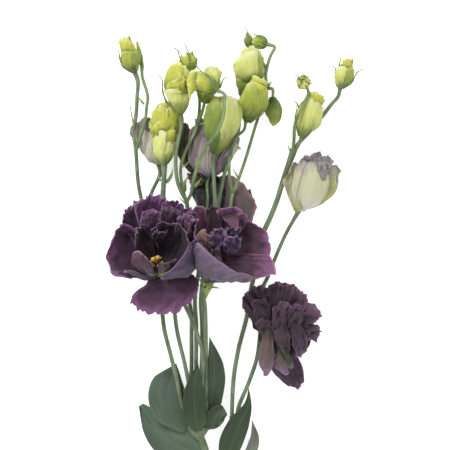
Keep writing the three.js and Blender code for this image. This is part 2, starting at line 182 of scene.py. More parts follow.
def tube(places, radius, sides=14, step=0.002, flat=1.0, number=0.0):
    """A closed round tube. radius is a function of the share of the length, and gives metres."""
    line = through(places, step)
    count = len(line)
    run = np.linspace(0, 1, count)
    length = np.linalg.norm(np.diff(line, axis=0), axis=1).sum()
    tangent = np.gradient(line, axis=0)
    tangent /= np.linalg.norm(tangent, axis=1)[:, None]
    side = unit(np.cross(tangent[0], (0.13, 0.21, 0.97)))
    thick = np.array([radius(s) for s in run])
    angle = np.arange(sides) * 2 * math.pi / sides
    rings = []
    for place, ahead, size in zip(line, tangent, thick):
        side = unit(side - ahead * side.dot(ahead))
        up = flat * np.cross(ahead, side)
        rings.append(place + size * (np.cos(angle)[:, None] * side + np.sin(angle)[:, None] * up))
    start = np.arange(count - 1)[:, None] * sides
    near = np.arange(sides)
    far = (near + 1) % sides
    quads = np.stack([start + near, start + far, start + sides + far, start + sides + near], -1)
    faces = quads.reshape(-1, 4).tolist()
    last = (count - 1) * sides
    for a, b in zip(near.tolist(), far.tolist()):
        faces += [[count * sides, b, a], [count * sides + 1, last + a, last + b]]
    along = np.concatenate([np.repeat(run, sides), [0, 1]])
    girth = np.concatenate([np.tile(angle, count) * np.repeat(thick, sides), [0, 0]])
    spot = np.column_stack([girth, along * length, np.full(len(along), number * GRAIN_STEP)])
    return {"co": np.vstack([*rings, line[:1], line[-1:]]), "faces": faces, "along": along, "spot": spot,
            "outside": np.ones(len(along)), "tint": np.full(len(along), (number * 0.618) % 1)}


def piece(name, groups, nodes):
    """One visual piece that stands for CAD nodes. Each group is a material and its shapes. A point knows
    its share along its shape, which side it is on, its own tint, and its spot for the grain."""
    co, faces, paints = [], [], []
    facts = {"along": [], "outside": [], "tint": [], "spot": []}
    mesh = bpy.data.meshes.new(name)
    first = 0
    for paint, (finish, shapes) in enumerate(groups):
        mesh.materials.append(finish)
        for shape in shapes:
            co.append(shape["co"])
            faces += [[corner + first for corner in face] for face in shape["faces"]]
            paints += [paint] * len(shape["faces"])
            first += len(shape["co"])
            for fact, values in facts.items():
                values.append(shape[fact])
    mesh.from_pydata(np.vstack(co).tolist(), [], faces)
    mesh.polygons.foreach_set("material_index", paints)
    mesh.polygons.foreach_set("use_smooth", [True] * len(faces))
    for fact, values in facts.items():
        kind, entry = ("FLOAT_VECTOR", "vector") if fact == "spot" else ("FLOAT", "value")
        mesh.attributes.new(fact, kind, "POINT").data.foreach_set(entry, np.concatenate(values).ravel())
    mesh.update()
    made = bpy.data.objects.new(name, mesh)
    bpy.context.collection.objects.link(made)
    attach(made, "root")
    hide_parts(*nodes)


def mottle(tree, across, along, layer, **sockets):
    """Noise drawn out along a piece's growth. Its grain is across by along millimetres."""
    spot = add(tree, "Attribute", {}, attribute_name="spot").outputs["Vector"]
    place = add(tree, "Mapping", {"Vector": spot, "Scale": (1 / (across * MM), 1 / (along * MM), layer)})
    return add(tree, "TexNoise", {"Vector": place, "Scale": 1.0, **sockets})


# A range that starts and ends softly.
EASED = {"interpolation_type": "SMOOTHSTEP"}


# Living stem skin: waxy cells in long rows, 0.5 mm wide, with a dull grey-blue bloom rubbed off in
# streaks. It looks soft green with paler lines, and shines only a little.
def green_skin(name, dark, body, light):
    made, tree = material(name)
    rows = mottle(tree, 0.5, 9, 1.0, Detail=3.0)
    patch = mottle(tree, 6, 16, 3.0, Detail=2.0)
    bare = add(tree, "MapRange", {0: patch, 1: 0.35, 2: 0.68}, **EASED)
    line = add(tree, "MapRange", {0: rows, 1: 0.35, 2: 0.7}, **EASED)
    low = add(tree, "Mix", {0: bare, 6: dark, 7: body}, data_type="RGBA")
    share = add(tree, "Math", {0: line, 1: 0.5}, operation="MULTIPLY")
    skin = add(tree, "Mix", {0: share, 6: low, 7: light}, data_type="RGBA")
    bump = add(tree, "Bump", {"Height": rows, "Strength": 0.5, "Distance": 0.15 * MM})
    wax = {"Roughness": 0.5, "IOR": 1.42}
    shader = add(tree, "BsdfPrincipled", {"Base Color": skin, **wax, "Normal": bump})
    add(tree, "OutputMaterial", {"Surface": shader})
    return made


stem_skin = green_skin("waxy_stem_skin", "#4b5a40", "#6d7e5e", "#9cab8b")
young_skin = green_skin("young_stalk_skin", "#4f6440", "#738a5a", "#a6b686")
bract_skin = green_skin("bract_skin", "#5a7440", "#7d9a58", "#b9c88c")

left_node = (-31, -131, 8.5)
right_node = (0, -121, 8)


def stalk(places, diameter, end=0.9, swell=0.0, number=0.0):
    """A stem with small swellings at its knots, which thickens under its head. end is its width at its
    upper end, as a share of that at its foot."""
    def radius(s):
        taper = diameter / 2 * (1 + (end - 1) * s**2)
        knots = 1 + 0.03 * math.sin(9 * s + number) + 0.02 * math.sin(23 * s + 2 * number)
        return taper * knots + swell * smooth((s - 0.93) / 0.07)
    return tube([at(*p) for p in places], radius, number=number)


def node_swelling(top, half_width, half_height, number):
    """A flattened swelling, 9 mm long, where leaves and branches grow from a stem."""
    def radius(s):
        return half_width * MM * (0.35 + 0.65 * s**0.8) * (1 - 0.12 * smooth((s - 0.8) / 0.2))
    line = [at(top[0], top[1] - back, top[2]) for back in (9, 6, 3, 0)]
    return tube(line, radius, sides=28, step=0.0008, flat=half_height / half_width, number=number)


piece("main_stem_skin", [(stem_skin, [
    stalk([(-16, -210, 3.2), (-19, -176, 3.4), (-25, -152, 5), (-30, -137, 8), (-31, -133, 8.5)],
          MAIN_STEM, end=1.0, number=1),
    stalk([(-19, -178, 3.5), (-11, -152, 6), (-1, -128, 8), (0, -124, 8)], FORK_STEM, end=1.0, number=2),
    node_swelling(left_node, 10, 6.8, 3),
    node_swelling(right_node, 5.5, 4.5, 4),
])], ["main_stem"])

# Where the heads sit: the base and tip of each bud and pale flower, and the base and direction of each
# bloom.
buds = {
    "bud_top_left": ((-85, 170, 9), (-94, 196, 8)),
    "bud_top_left_slim": ((-79, 174, 18), (-80, 198, 19)),
    "bud_large_left": ((-60, 92, 40), (-60, 143, 43)),
    "bud_upper_left": ((-46, 134, 50), (-51, 178, 46)),
    "bud_small_top": ((-36, 172, 37), (-40, 185, 36)),
    "bud_nodding": ((-15, 154, 69), (-39, 166, 63)),
    "bud_behind_nodding": ((-26, 144, 43), (-19, 174, 43)),
    "bud_large_centre": ((-18, 101, 49), (-12, 150, 52)),
    "bud_upper_right": ((6, 150, 22), (13, 191, 18)),
    "bud_right_front": ((9, 128, 42), (17, 165, 42)),
    "bud_drooping": ((32, 149, 33), (33, 125, 30)),
    "bud_tip_pointed": ((12, 192, 7), (11, 204, 6)),
    "bud_tip_round": ((27, 194, 14), (15, 198, 12)),
    "bud_star": ((58, 161, 22), (58, 162, 30)),
    "bud_right_leaning": ((56, 116, 15), (66, 153, 15)),
    "bud_far_right": ((89, 157, 10.5), (94, 183, 9.5)),
}
pale_flowers = {
    "pale_flower_right": ((54, 52, 20), (69, 100, 20)),
    "pale_flower_left": ((-65, 92, 14), (-74, 134, 15)),
    "pale_flower_centre": ((-23, 81, 30), (-17, 130, 6)),
}
blooms = {
    "bloom_left": ((-62, -2, 33), (-0.22, 0.6, 0.77)),
    "bloom_right": ((-25, -11, 36), (0.42, 0.62, 0.66)),
    "bloom_rear": ((-6, 18, 17), (0, 1, 0.02)),
    "bloom_nodding": ((36, -38, 11), (0.14, -0.2, 0.95)),
}


def leaving(node, x, z):
    """The first two places of a branch: inside the node and just past it."""
    return [(node[0] + x, node[1] + y, node[2] + z) for y in (-2, 5.3)]


def growing(name):
    """Where a head sits, and the direction that it grows in."""
    if name in blooms:
        base, direction = blooms[name]
    else:
        base, tip = {**buds, **pale_flowers}[name]
        direction = np.subtract(tip, base)
    return base, unit(direction)


def carrying(name):
    """The last two places of a stem that carries a head."""
    base, direction = growing(name)
    return [tuple(np.array(base) - direction * back) for back in (7, -1)]


# Each branch's limbs: a diameter, the places that it passes through and, for the few that grow thicker
# upwards, the share of that diameter at the end.
branches = {
    "stem_top_left": [
        (BRANCH, [*leaving(left_node, -7.5, 3), (-45, -112, 13), (-49, -92, 15), (-55, -68, 18),
                  (-60, -48, 20), (-62, -31, 21), (-66, 3, 20), (-73, 32, 20), (-78, 56, 24), (-82, 76, 28),
                  (-84, 103, 32), (-86, 120, 31), (-84, 133, 28), (-83, 150, 20),
                  *carrying("bud_top_left")]),
        (PEDICEL, [(-84, 103, 32), (-79, 119, 34), (-76, 130, 33), (-75, 140, 30), (-74, 150, 24),
                   *carrying("bud_top_left_slim")]),
    ],
    "stem_bloom_left": [
        (BRANCH, [*leaving(left_node, -2.5, 3), (-38, -100, 15), (-42, -80, 19), (-49, -50, 24),
                  (-52, -29, 26), (-58, -4, 27), *carrying("bloom_left")]),
        (BRANCH, [(-57, -8, 27), (-60, 28, 30), (-61, 66, 34), *carrying("bud_large_left")], 1.3),
    ],
    "stem_pale_left": [
        (BRANCH, [*leaving(left_node, 2.5, 3), (-30, -112, 15), (-28, -91, 20), (-27, -69, 21),
                  (-31, -55, 21), (-37, -39, 20), (-43, -26, 18), (-60, 15, 14), (-70, 45, 13),
                  (-72, 64, 13), *carrying("pale_flower_left")]),
    ],
    "stem_upper_left": [
        (BRANCH, [*leaving(left_node, -5, -3), (-38, -99, 6), (-37, -80, 7), (-37, -55, 9), (-37, -35, 11),
                  (-39, -23, 13), (-41, 20, 26), (-41, 60, 40), (-45, 68, 43), (-49, 79, 47), (-50, 100, 51),
                  *carrying("bud_upper_left")]),
        (PEDICEL, [(-41, 60, 40), (-44, 70, 41), (-46, 89, 42), (-42, 103, 42), (-33, 122, 40),
                   (-30, 144, 38), (-32, 156, 37), *carrying("bud_small_top")]),
        (PEDICEL, [(-32, 126, 40), *carrying("bud_behind_nodding")]),
        (PEDICEL, [(-41, 60, 40), (-37, 68, 48), (-35, 79, 56), (-31, 92, 64), (-25, 106, 70), (-17, 116, 74),
                   (-11, 128, 75), (-9, 138, 74), (-9, 146, 72), *carrying("bud_nodding")]),
    ],
    "stem_large_centre": [
        (BRANCH, [*leaving(left_node, 0, -3), (-33, -91, 7), (-33, -43, 12), (-34, -23, 15), (-31, 0, 20),
                  (-27, 20, 28), (-21, 40, 40), (-17, 58, 47), (-18, 79, 50), *carrying("bud_large_centre")]),
    ],
    "stem_upper_right": [
        (BRANCH, [*leaving(left_node, 5, -3), (-29, -91, 6), (-28, -71, 7), (-28, -43, 9), (-29, -23, 11),
                  (-26, 3, 18), (-21, 20, 27), (-17, 40, 36), (-14, 58, 40), (-9, 84, 38), (-3, 102, 36),
                  (3, 123, 32), (4, 139, 26), *carrying("bud_upper_right")]),
        (PEDICEL, [(-25, 8, 20), (-25, 30, 24), (-24, 50, 33), (-23, 64, 36),
                   *carrying("pale_flower_centre")]),
        (PEDICEL, [(-28, -8, 15), (-18, 2, 16), *carrying("bloom_rear")]),
        (PEDICEL, [(-27, -2, 17), (-13, 20, 27), (-5, 50, 40), (-2, 68, 42), (3, 80, 40), (9, 97, 36),
                   (19, 130, 30), (23, 140, 29), (27, 156, 27), (26, 168, 22), (30, 184, 16),
                   *carrying("bud_tip_round")]),
        (PEDICEL, [(-2, 68, 42), (-5, 84, 46), (-4, 100, 46), (2, 116, 44), *carrying("bud_right_front")]),
        (PEDICEL, [(27, 156, 27), *carrying("bud_drooping")]),
        (PEDICEL, [(26, 168, 22), (25, 176, 11), (18, 184, 7), *carrying("bud_tip_pointed")]),
    ],
    "stem_bloom_right": [
        (BRANCH + 0.4 * MM, [*leaving(left_node, 7.5, 3), (-25, -110, 13), (-25, -74, 17), (-25, -45, 22),
                             (-26, -25, 27), *carrying("bloom_right")]),
    ],
    "stem_right": [
        (BRANCH, [*leaving(right_node, -2.6, 0), (-1, -88, 7), (3, -64, 5), (10, -37, 3), (14, -12, 3),
                  (20, 13, 6), (24, 34, 10), (29, 45, 12), (35, 60, 12), (41, 79, 9), (50, 105, 11)], 1.4),
        (BRANCH, [(47, 97, 10.5), (50, 105, 11), (65, 122, 4), (74, 133, 3), (82.5, 144, 5),
                  *carrying("bud_far_right")]),
        (PEDICEL, [(49, 102, 11), (50, 114, 20), (51, 127, 28), (58, 143, 30), (62, 152, 25), (61, 157, 17),
                   *carrying("bud_star")]),
        (PEDICEL, [(48, 99, 11), *carrying("bud_right_leaning")]),
    ],
    "stem_pale_right": [
        (BRANCH, [*leaving(right_node, 2.6, 0), (12, -92, 6), (19, -70, 3), (22, -40, 2.5), (24, -12, 4),
                  (28, -3, 5), (33, 10, 6), (43.5, 34, 13), (49.3, 44.5, 18), (54, 52.6, 20)]),
        (PEDICEL, [(24, -20, 3.5), (28, -30, 3), *carrying("bloom_nodding")]),
    ],
}


# Each fork of a stalk has a pair of small pointed bracts, and a thin dried one here and there.
def bract(base, tip, bow, width, number=0):
    """A small flat leaf between two places, bowed by bow and at most width millimetres across."""
    base, tip, bow = (np.array(place, float) for place in (base, tip, bow))
    middle = (base + tip) / 2 + bow
    places = [at(*place) for place in (base, (base + middle) / 2 + bow * 0.25, middle, tip)]

    def radius(s):
        belly = math.sin(math.pi * min(1, s * 1.1 + 0.12))
        return width * MM * (0.35 + 0.8 * belly) * (1.02 - s)
    return tube(places, radius, sides=8, step=0.0012, flat=0.35, number=number)


bracts = {
    "stem_bloom_left": [
        bract((-58.5, 76.5, 37), (-52, 93.5, 42), (1.5, -1.5, 0), 1.7, 17),
        bract((-63, 78, 37), (-65, 87.5, 39), (-0.8, 0, 0.5), 1.1, 18),
    ],
    "stem_upper_left": [
        bract((-41, 60, 41), (-32, 65, 44), (0, 3.5, 3), 1.1, 3),
        bract((-41, 58, 40), (-50, 69, 44), (-1, 0, 2), 0.7, 5),
        bract((-32, 126, 40), (-23, 133, 42), (1, -2, 1), 0.7, 6),
        bract((-46, 89, 43), (-36, 104, 46), (2, -2, 2), 0.6, 7),
    ],
    "stem_top_left": [
        bract((-77, 143, 29), (-83, 153, 25), (-1, 0, 1), 1.3, 8),
        bract((-83, 110, 33), (-92, 165, 24), (-1, 2, 1), 0.9, 9),
    ],
    "stem_upper_right": [
        bract((27, 157, 27), (34, 162, 29), (0, 2, 2), 1.6, 10),
        bract((3, 80, 41), (-3, 92, 46), (-1, 1, 1), 0.8, 12),
        bract((-2, 68, 42), (4, 78, 44), (1, 0, 1), 0.8, 13),
    ],
    "stem_pale_left": [
        bract((-43, 69, 38), (-38, 85, 42), (-2, 0, 2), 2.6, 15),
        bract((-34, 73, 40), (-27, 83, 43), (1, 1, 1), 1.6, 16),
    ],
    "stem_right": [
        bract((29, 45, 13), (33, 47, 15), (0, 1, 1), 0.8, 11),
        bract((49, 100, 12), (44, 113, 13), (-1, 0, 1), 0.9, 14),
    ],
}
for number, (name, limbs) in enumerate(branches.items()):
    thick, thin = [], []
    for k, (diameter, places, *end) in enumerate(limbs):
        shape = stalk(places, diameter, *(end or [0.88]), 0.5 * MM, 7 * number + k)
        (thin if diameter == PEDICEL else thick).append(shape)
    piece(f"{name}_skin", [(stem_skin, thick), (young_skin, thin), (bract_skin, bracts.get(name, []))],
          [name])


# ----------------------------------------
# Leaves. Smooth fleshy blades that clasp the two nodes, cupped round the stems: dull blue-green
# with a wax bloom above, paler beneath, and with pale sunken midribs.
def shell(grid, thickness, tint=0.5, number=0.0, edge=0.35, along=None):
    """Closes a grid of places, with rows along and columns across, into a thin blade. edge is its
    thickness at the rim, as a share."""
    rows, columns = grid.shape[:2]
    along_step, across_step = np.gradient(grid, axis=0), np.gradient(grid, axis=1)
    normal = np.cross(across_step, along_step)
    normal /= np.maximum(np.linalg.norm(normal, axis=2), 1e-12)[:, :, None]
    s, u = shares(rows, columns)
    inset = np.minimum(1, 6 * np.minimum(1 - np.abs(u), 1 - s))
    lift = normal * (thickness / 2 * (edge + (1 - edge) * inset))[:, :, None]
    count = rows * columns
    order = np.arange(count).reshape(rows, columns)
    a = order[:-1, :-1].ravel()
    upper = np.column_stack([a, a + 1, a + columns + 1, a + columns])
    loop = np.concatenate([order[0, :-1], order[:-1, -1], order[-1, :0:-1], order[:0:-1, 0]])
    after = np.roll(loop, -1)
    rim = np.column_stack([loop, loop + count, after + count, after])
    lateral = np.cumsum(np.linalg.norm(across_step, axis=2), axis=1)
    lateral -= lateral[:, columns // 2][:, None]
    forward = np.cumsum(np.linalg.norm(along_step, axis=2), axis=0)
    spot = np.stack([lateral, forward, np.full_like(forward, number * GRAIN_STEP)], -1).reshape(-1, 3)
    share = np.broadcast_to(s if along is None else along, (rows, columns)).ravel()
    tint = np.broadcast_to(tint, (rows, columns)).ravel()
    return {"co": np.concatenate([grid + lift, grid - lift]).reshape(-1, 3),
            "faces": np.concatenate([upper, upper[:, ::-1] + count, rim]).tolist(),
            "along": np.tile(share, 2), "outside": np.repeat([1.0, 0.0], count),
            "spot": np.tile(spot, (2, 1)), "tint": np.tile(tint, 2)}


def shares(rows, columns):
    """The shares along a blade's grid, and those from -1 to 1 across it."""
    return np.linspace(0, 1, rows)[:, None], np.linspace(-1, 1, columns)[None, :]


def wander(rng, rows, columns, knots=(5, 5)):
    """A smooth random height over a grid, about 1 high, with so many bumps along and across."""
    coarse = rng.normal(size=knots)
    r, c = np.linspace(0, knots[0] - 1, rows), np.linspace(0, knots[1] - 1, columns)
    i, j = np.minimum(r.astype(int), knots[0] - 2), np.minimum(c.astype(int), knots[1] - 2)
    fr, fc = smooth(r - i)[:, None], smooth(c - j)[None, :]
    near = coarse[i][:, j] * (1 - fr) + coarse[i + 1][:, j] * fr
    far = coarse[i][:, j + 1] * (1 - fr) + coarse[i + 1][:, j + 1] * fr
    return near * (1 - fc) + far * fc


def leaf(spine, left, right, number, fold=0.25, cup=0.25, painted_shadow=(0, 0)):
    """A blade along a spine. left and right are its half widths in mm at even steps along it, fold is how far
    it creases along its midrib, and the last argument darkens it from its left rim to its right: a painted
    shadow, where stems and leaves over it would shade it."""
    rows, columns = 48, 25
    line = through([at(*p) for p in spine], 0.0005)
    pick = np.linspace(0, len(line) - 1, rows)
    line = np.column_stack([np.interp(pick, np.arange(len(line)), line[:, k]) for k in range(3)])
    s, u = np.linspace(0, 1, rows), np.linspace(-1, 1, columns)
    steps = np.linspace(0, 1, len(left))
    outlines = [through(np.column_stack([steps, side]), 0.01) for side in (left, right)]
    widths = [np.interp(s, *outline.T) * MM for outline in outlines]
    tangent = np.gradient(line, axis=0)
    tangent /= np.linalg.norm(tangent, axis=1)[:, None]
    across = np.cross(tangent, (0, 0, 1.0))
    across /= np.linalg.norm(across, axis=1)[:, None]
    normal = np.cross(across, tangent)
    rng = np.random.default_rng(number + 50)
    height = wander(rng, rows, columns, (6, 4)) * 0.6 * MM
    grid = np.zeros((rows, columns, 3))
    for j, share in enumerate(u):
        reach = np.maximum(widths[0] if share < 0 else widths[1], 0.15 * MM) * share
        crease = fold * np.abs(reach) * np.exp(-np.abs(reach) / (4 * MM))
        lift = crease + cup * reach**2 / (14 * MM) + height[:, j] * abs(share)
        grid[:, j] = line + across * reach[:, None] + normal * lift[:, None]
    return shell(grid, 0.9 * MM, tint=np.linspace(*painted_shadow, columns)[None, :], number=number)


def known(tree):
    """What a point of a blade knows: its share along, which side it is on, and its tint."""
    facts = ("along", "outside", "tint")
    return [add(tree, "Attribute", {}, attribute_name=fact).outputs["Fac"] for fact in facts]


# Leaf skin: the wax scatters light, so the green looks dusty blue, with veins along the blade about
# 1.3 mm apart, a pale sunken midrib, and a paler underside.
def leaf_material(name, dark, body, bloom, edge):
    made, tree = material(name)
    spot = add(tree, "Attribute", {}, attribute_name="spot").outputs["Vector"]
    along, outside, tint = known(tree)
    vein = mottle(tree, 1.3, 22, 1.0, Detail=4.0)
    cloud = mottle(tree, 11, 22, 2.0, Detail=3.0)
    wax = add(tree, "MapRange", {0: cloud, 1: 0.35, 2: 0.65}, **EASED)
    fine = add(tree, "MapRange", {0: vein, 1: 0.3, 2: 0.75}, **EASED)
    base = add(tree, "Mix", {0: wax, 6: body, 7: bloom}, data_type="RGBA")
    share = add(tree, "Math", {0: fine, 1: 0.55}, operation="MULTIPLY")
    lined = add(tree, "Mix", {0: share, 6: base, 7: dark}, data_type="RGBA")
    parts = add(tree, "SeparateXYZ", {0: spot})
    off = add(tree, "Math", {0: parts.outputs["X"]}, operation="ABSOLUTE")
    rib_range = {0: off, 1: 0.2 * MM, 2: 1.1 * MM, 3: 0.35, 4: 0.0}
    rib = add(tree, "MapRange", rib_range, **EASED)
    ribbed = add(tree, "Mix", {0: rib, 6: lined, 7: edge}, data_type="RGBA")
    foot = add(tree, "MapRange", {0: along, 1: 0.0, 2: 0.35, 3: 0.5, 4: 0.0})
    footed = add(tree, "Mix", {0: foot, 6: ribbed, 7: "#4c6a34"}, data_type="RGBA")
    under = add(tree, "Math", {0: 0.45, 1: outside}, operation="MULTIPLY")
    waxed = add(tree, "Mix", {0: under, 6: footed, 7: bloom}, data_type="RGBA")
    # Painted shade: the tint, set across a blade, darkens it towards the dark colour where stems and leaves
    # would shade it.
    skin = add(tree, "Mix", {0: tint, 6: waxed, 7: dark}, data_type="RGBA")
    bump = add(tree, "Bump", {"Height": vein, "Strength": 0.5, "Distance": 0.25 * MM})
    dusty = {"Roughness": 0.48, "IOR": 1.42}
    shader = add(tree, "BsdfPrincipled", {"Base Color": skin, **dusty, "Normal": bump})
    add(tree, "OutputMaterial", {"Surface": shader})
    return made


leaf_skin = leaf_material("waxy_leaf_skin", "#303f29", "#465a41", "#607464", "#84937a")
# A darker copy of the leaf skin, for leaves lying in shade: painted shade.
painted_shade_leaf_skin = leaf_material("painted_shade_waxy_leaf_skin", "#212c1a", "#303f2b", "#3f4f3b", "#6b7b60")
grey_leaf_skin = leaf_material("grey_leaf_skin", "#565e4c", "#6d7463", "#868c7f", "#9aa08c")
dark_leaf_skin = leaf_material("dark_leaf_skin", "#1b2415", "#2a3a23", "#384832", "#657555")
leaves = {
    # A painted shadow darkens the right half of the round leaf, under the leaf over it, and the left rim of
    # the low leaf.
    "leaf_round_left": (leaf_skin, leaf(
        [(-42, -134, 8), (-51, -122, 8), (-57, -102, 7), (-50, -77, 5)],
        [3, 9, 15.5, 17, 15.5, 9, 0], [3, 9, 14, 16, 14, 8, 0],
        cup=0.35, fold=0.2, painted_shadow=(0, 0.85), number=1)),
    "leaf_low_left": (leaf_skin, leaf(
        [(-29.6, -154, 5), (-48, -147, 4), (-68, -130, 3), (-80, -112, 2.5)],
        [2, 12, 16, 15, 12, 7, 2], [5, 14.5, 17.5, 17.5, 15, 9, 2], cup=0.15, painted_shadow=(0.5, 0), number=2)),
    "leaf_centre": (dark_leaf_skin, leaf(
        [(-31, -134, 16.5), (-34, -118, 20), (-35, -100, 24), (-31.5, -76.5, 27)],
        [3, 8.5, 10, 9, 7, 4, 0], [3, 8.5, 9.5, 9, 7.5, 4, 0], cup=0.55, fold=0.3, number=3)),
    "leaf_right": (painted_shade_leaf_skin, leaf(
        [(-20, -131, 9), (-19, -105, 12), (-17.5, -80, 15), (-21.5, -54.5, 20)],
        [1, 4, 6, 7, 6, 3.5, 0], [1, 5, 8.5, 9.5, 8, 4.5, 0], cup=0.3, number=4)),
    "leaf_curled": (painted_shade_leaf_skin, leaf(
        [(-24, -131, 14.5), (-18, -124, 17), (-13, -118.5, 19), (-8.5, -116, 19.5)],
        [2, 5.5, 7, 7.5, 7.5, 6.5, 4.5], [2, 5.5, 7, 7.5, 7.5, 6.5, 4.5], cup=1.0, number=5)),
    "leaf_upper_right": (dark_leaf_skin, leaf(
        [(-8, -163, 8.5), (-4, -148, 12.5), (3, -130, 14.5), (11, -112, 18), (11.6, -98, 19)],
        [3, 9, 11, 10, 7, 3, 0], [3, 7, 9, 8.5, 6, 2.5, 0], cup=0.35, number=6)),
    "leaf_low_right": (grey_leaf_skin, leaf(
        [(-12.5, -162, 5.2), (3, -166, 4), (12, -154, 3.5), (16.5, -140, 3), (14.5, -125, 3)],
        [0.9, 0.9, 1.2, 3, 4.5, 4.5, 3.5, 2, 0], [0.9, 0.9, 1.2, 3, 4.5, 5, 4, 2, 0], cup=0.2, number=7)),
}
for name, (finish, shape) in leaves.items():
    piece(f"{name}_blade", [(finish, [shape])], [name])


# ----------------------------------------
# Buds. Each is a few thin petals wound round one another in a slow spiral, yellow-green while
# closed, over a narrow green calyx whose long needle-like sepals curl away at their tips.
def around(axis):
    """Two directions square to an axis, the first as near to upright as it can be."""
    first = np.array((0, 0, 1.0)) - axis[2] * axis
    if np.linalg.norm(first) < 0.1:
        first = np.array((0, 1.0, 0)) - axis[1] * axis
    first = unit(first)
    return first, np.cross(axis, first)


def outward(axis, azimuth):
    """The direction out from an axis, at an angle round it."""
    first, second = around(axis)
    return first * math.cos(azimuth) + second * math.sin(azimuth)


def eased(places, count):
    """Smooth steps through the first axis of a block of places."""
    slopes = np.gradient(places, axis=0)
    run = np.linspace(0, len(places) - 1, count)
    i = np.minimum(run.astype(int), len(places) - 2)
    share = (run - i).reshape(-1, *[1] * (places.ndim - 1))
    return bend(share, places[i], slopes[i], places[i + 1], slopes[i + 1])


def bud_body(base, tip, form, press):
    """A bud's skin. form gives its half widths in mm, left and right, at shares of its height, and
    press flattens it from front to back."""
    start, end = at(*base), at(*tip)
    axis = unit(end - start)
    length = np.linalg.norm(end - start)
    first, second = around(axis)
    curve = eased(np.array(form, float), 90)

    def place(height, angle, scale=1.0):
        left, right = (np.interp(height, curve[:, 0], curve[:, k]) * MM for k in (1, 2))
        half = (left + right) / 2 * scale
        toward = half * np.cos(angle) * press
        across = (right - left) / 2 + half * np.sin(angle)
        rise = np.asarray(height * length)
        return start + rise[..., None] * axis + toward[..., None] * first + across[..., None] * second
    return place, length


def wound(body, count, twist, ruffle, ridge=0.0, turn=0.0, number=0, rows=28, columns=18, scale=1.0):
    """Petals wound round a bud. Each overlaps the next, and its free edge stands a little proud.
    ruffle waves their rims, and ridge crumples their middles."""
    rng = np.random.default_rng(number + 7)
    s, u = shares(rows, columns)
    shapes = []
    for k in range(count):
        rim = 1 - 0.09 * np.abs(u) ** 3 - 0.03 * wander(rng, rows, columns, (2, 7)) ** 2
        height = s * rim * (1 + 0.03 * rng.normal())
        half = 1.15 * (0.6 + 0.4 * np.sin(math.pi * np.clip(0.1 + 0.8 * height, 0, 1)))
        flutter = 0.06 * smooth((np.abs(u) - 0.6) / 0.4) * np.sin(9 * s + rng.uniform(0, 6))
        angle = turn + 2 * math.pi * k / count + twist * height + u * half + flutter
        late = smooth((height - 0.6) / 0.4)
        middle = smooth((height - 0.3) / 0.15) * smooth((0.97 - height) / 0.15)
        size = 1 + 0.09 * u + 0.045 * wander(rng, rows, columns, (6, 5)) * smooth(height / 0.2)
        size = size + ruffle * 2.5 * late * wander(rng, rows, columns, (4, 8))
        creases = 11 * math.pi * height + 1.6 * np.sin(angle) + 1.5 * wander(rng, rows, columns, (4, 4))
        size = size + ridge * middle * np.sin(creases) + 0.25 * np.maximum(0, u - 0.6) * late
        grid = body(np.clip(height, 0, 1.05), angle, size * scale)
        pale = np.maximum(s, smooth((u - 0.7) / 0.3) * smooth(s / 0.3))
        shapes.append(shell(grid, 0.45 * MM, tint=rng.uniform(0, 1), number=number * 10 + k, along=pale))
    return shapes


def sepal(body, length, azimuth, reach, flare, number=0):
    """A thin tapering needle that hugs the bud and curls away at its tip. reach and flare are in mm."""
    angle = np.array(math.radians(azimuth))
    middle = [body(np.array(height), 0, 0) for height in (0.0, 1.0)]
    places = []
    for share in (0.0, 0.15, 0.35, 0.55, 0.75, 0.9, 1.0):
        height = share * reach * MM / length
        hug, core = (body(np.array(min(height, 1.0)), angle, scale) for scale in (1.04, 0.0))
        away = unit(hug - core) * (0.25 + flare * max(0, share - 0.45) ** 2 / 0.3) * MM
        places.append(hug + away + max(0.0, height - 1) * unit(middle[1] - middle[0]) * length)

    def radius(s):
        belly = math.sin(math.pi * min(1, 0.25 + 0.75 * s)) ** 0.8
        return 0.7 * MM * (0.35 + 0.85 * belly) * (1.03 - 0.75 * s)
    return tube(places, radius, sides=8, step=0.001, flat=0.55, number=number)


PETAL_THICKNESS = 0.35 * MM


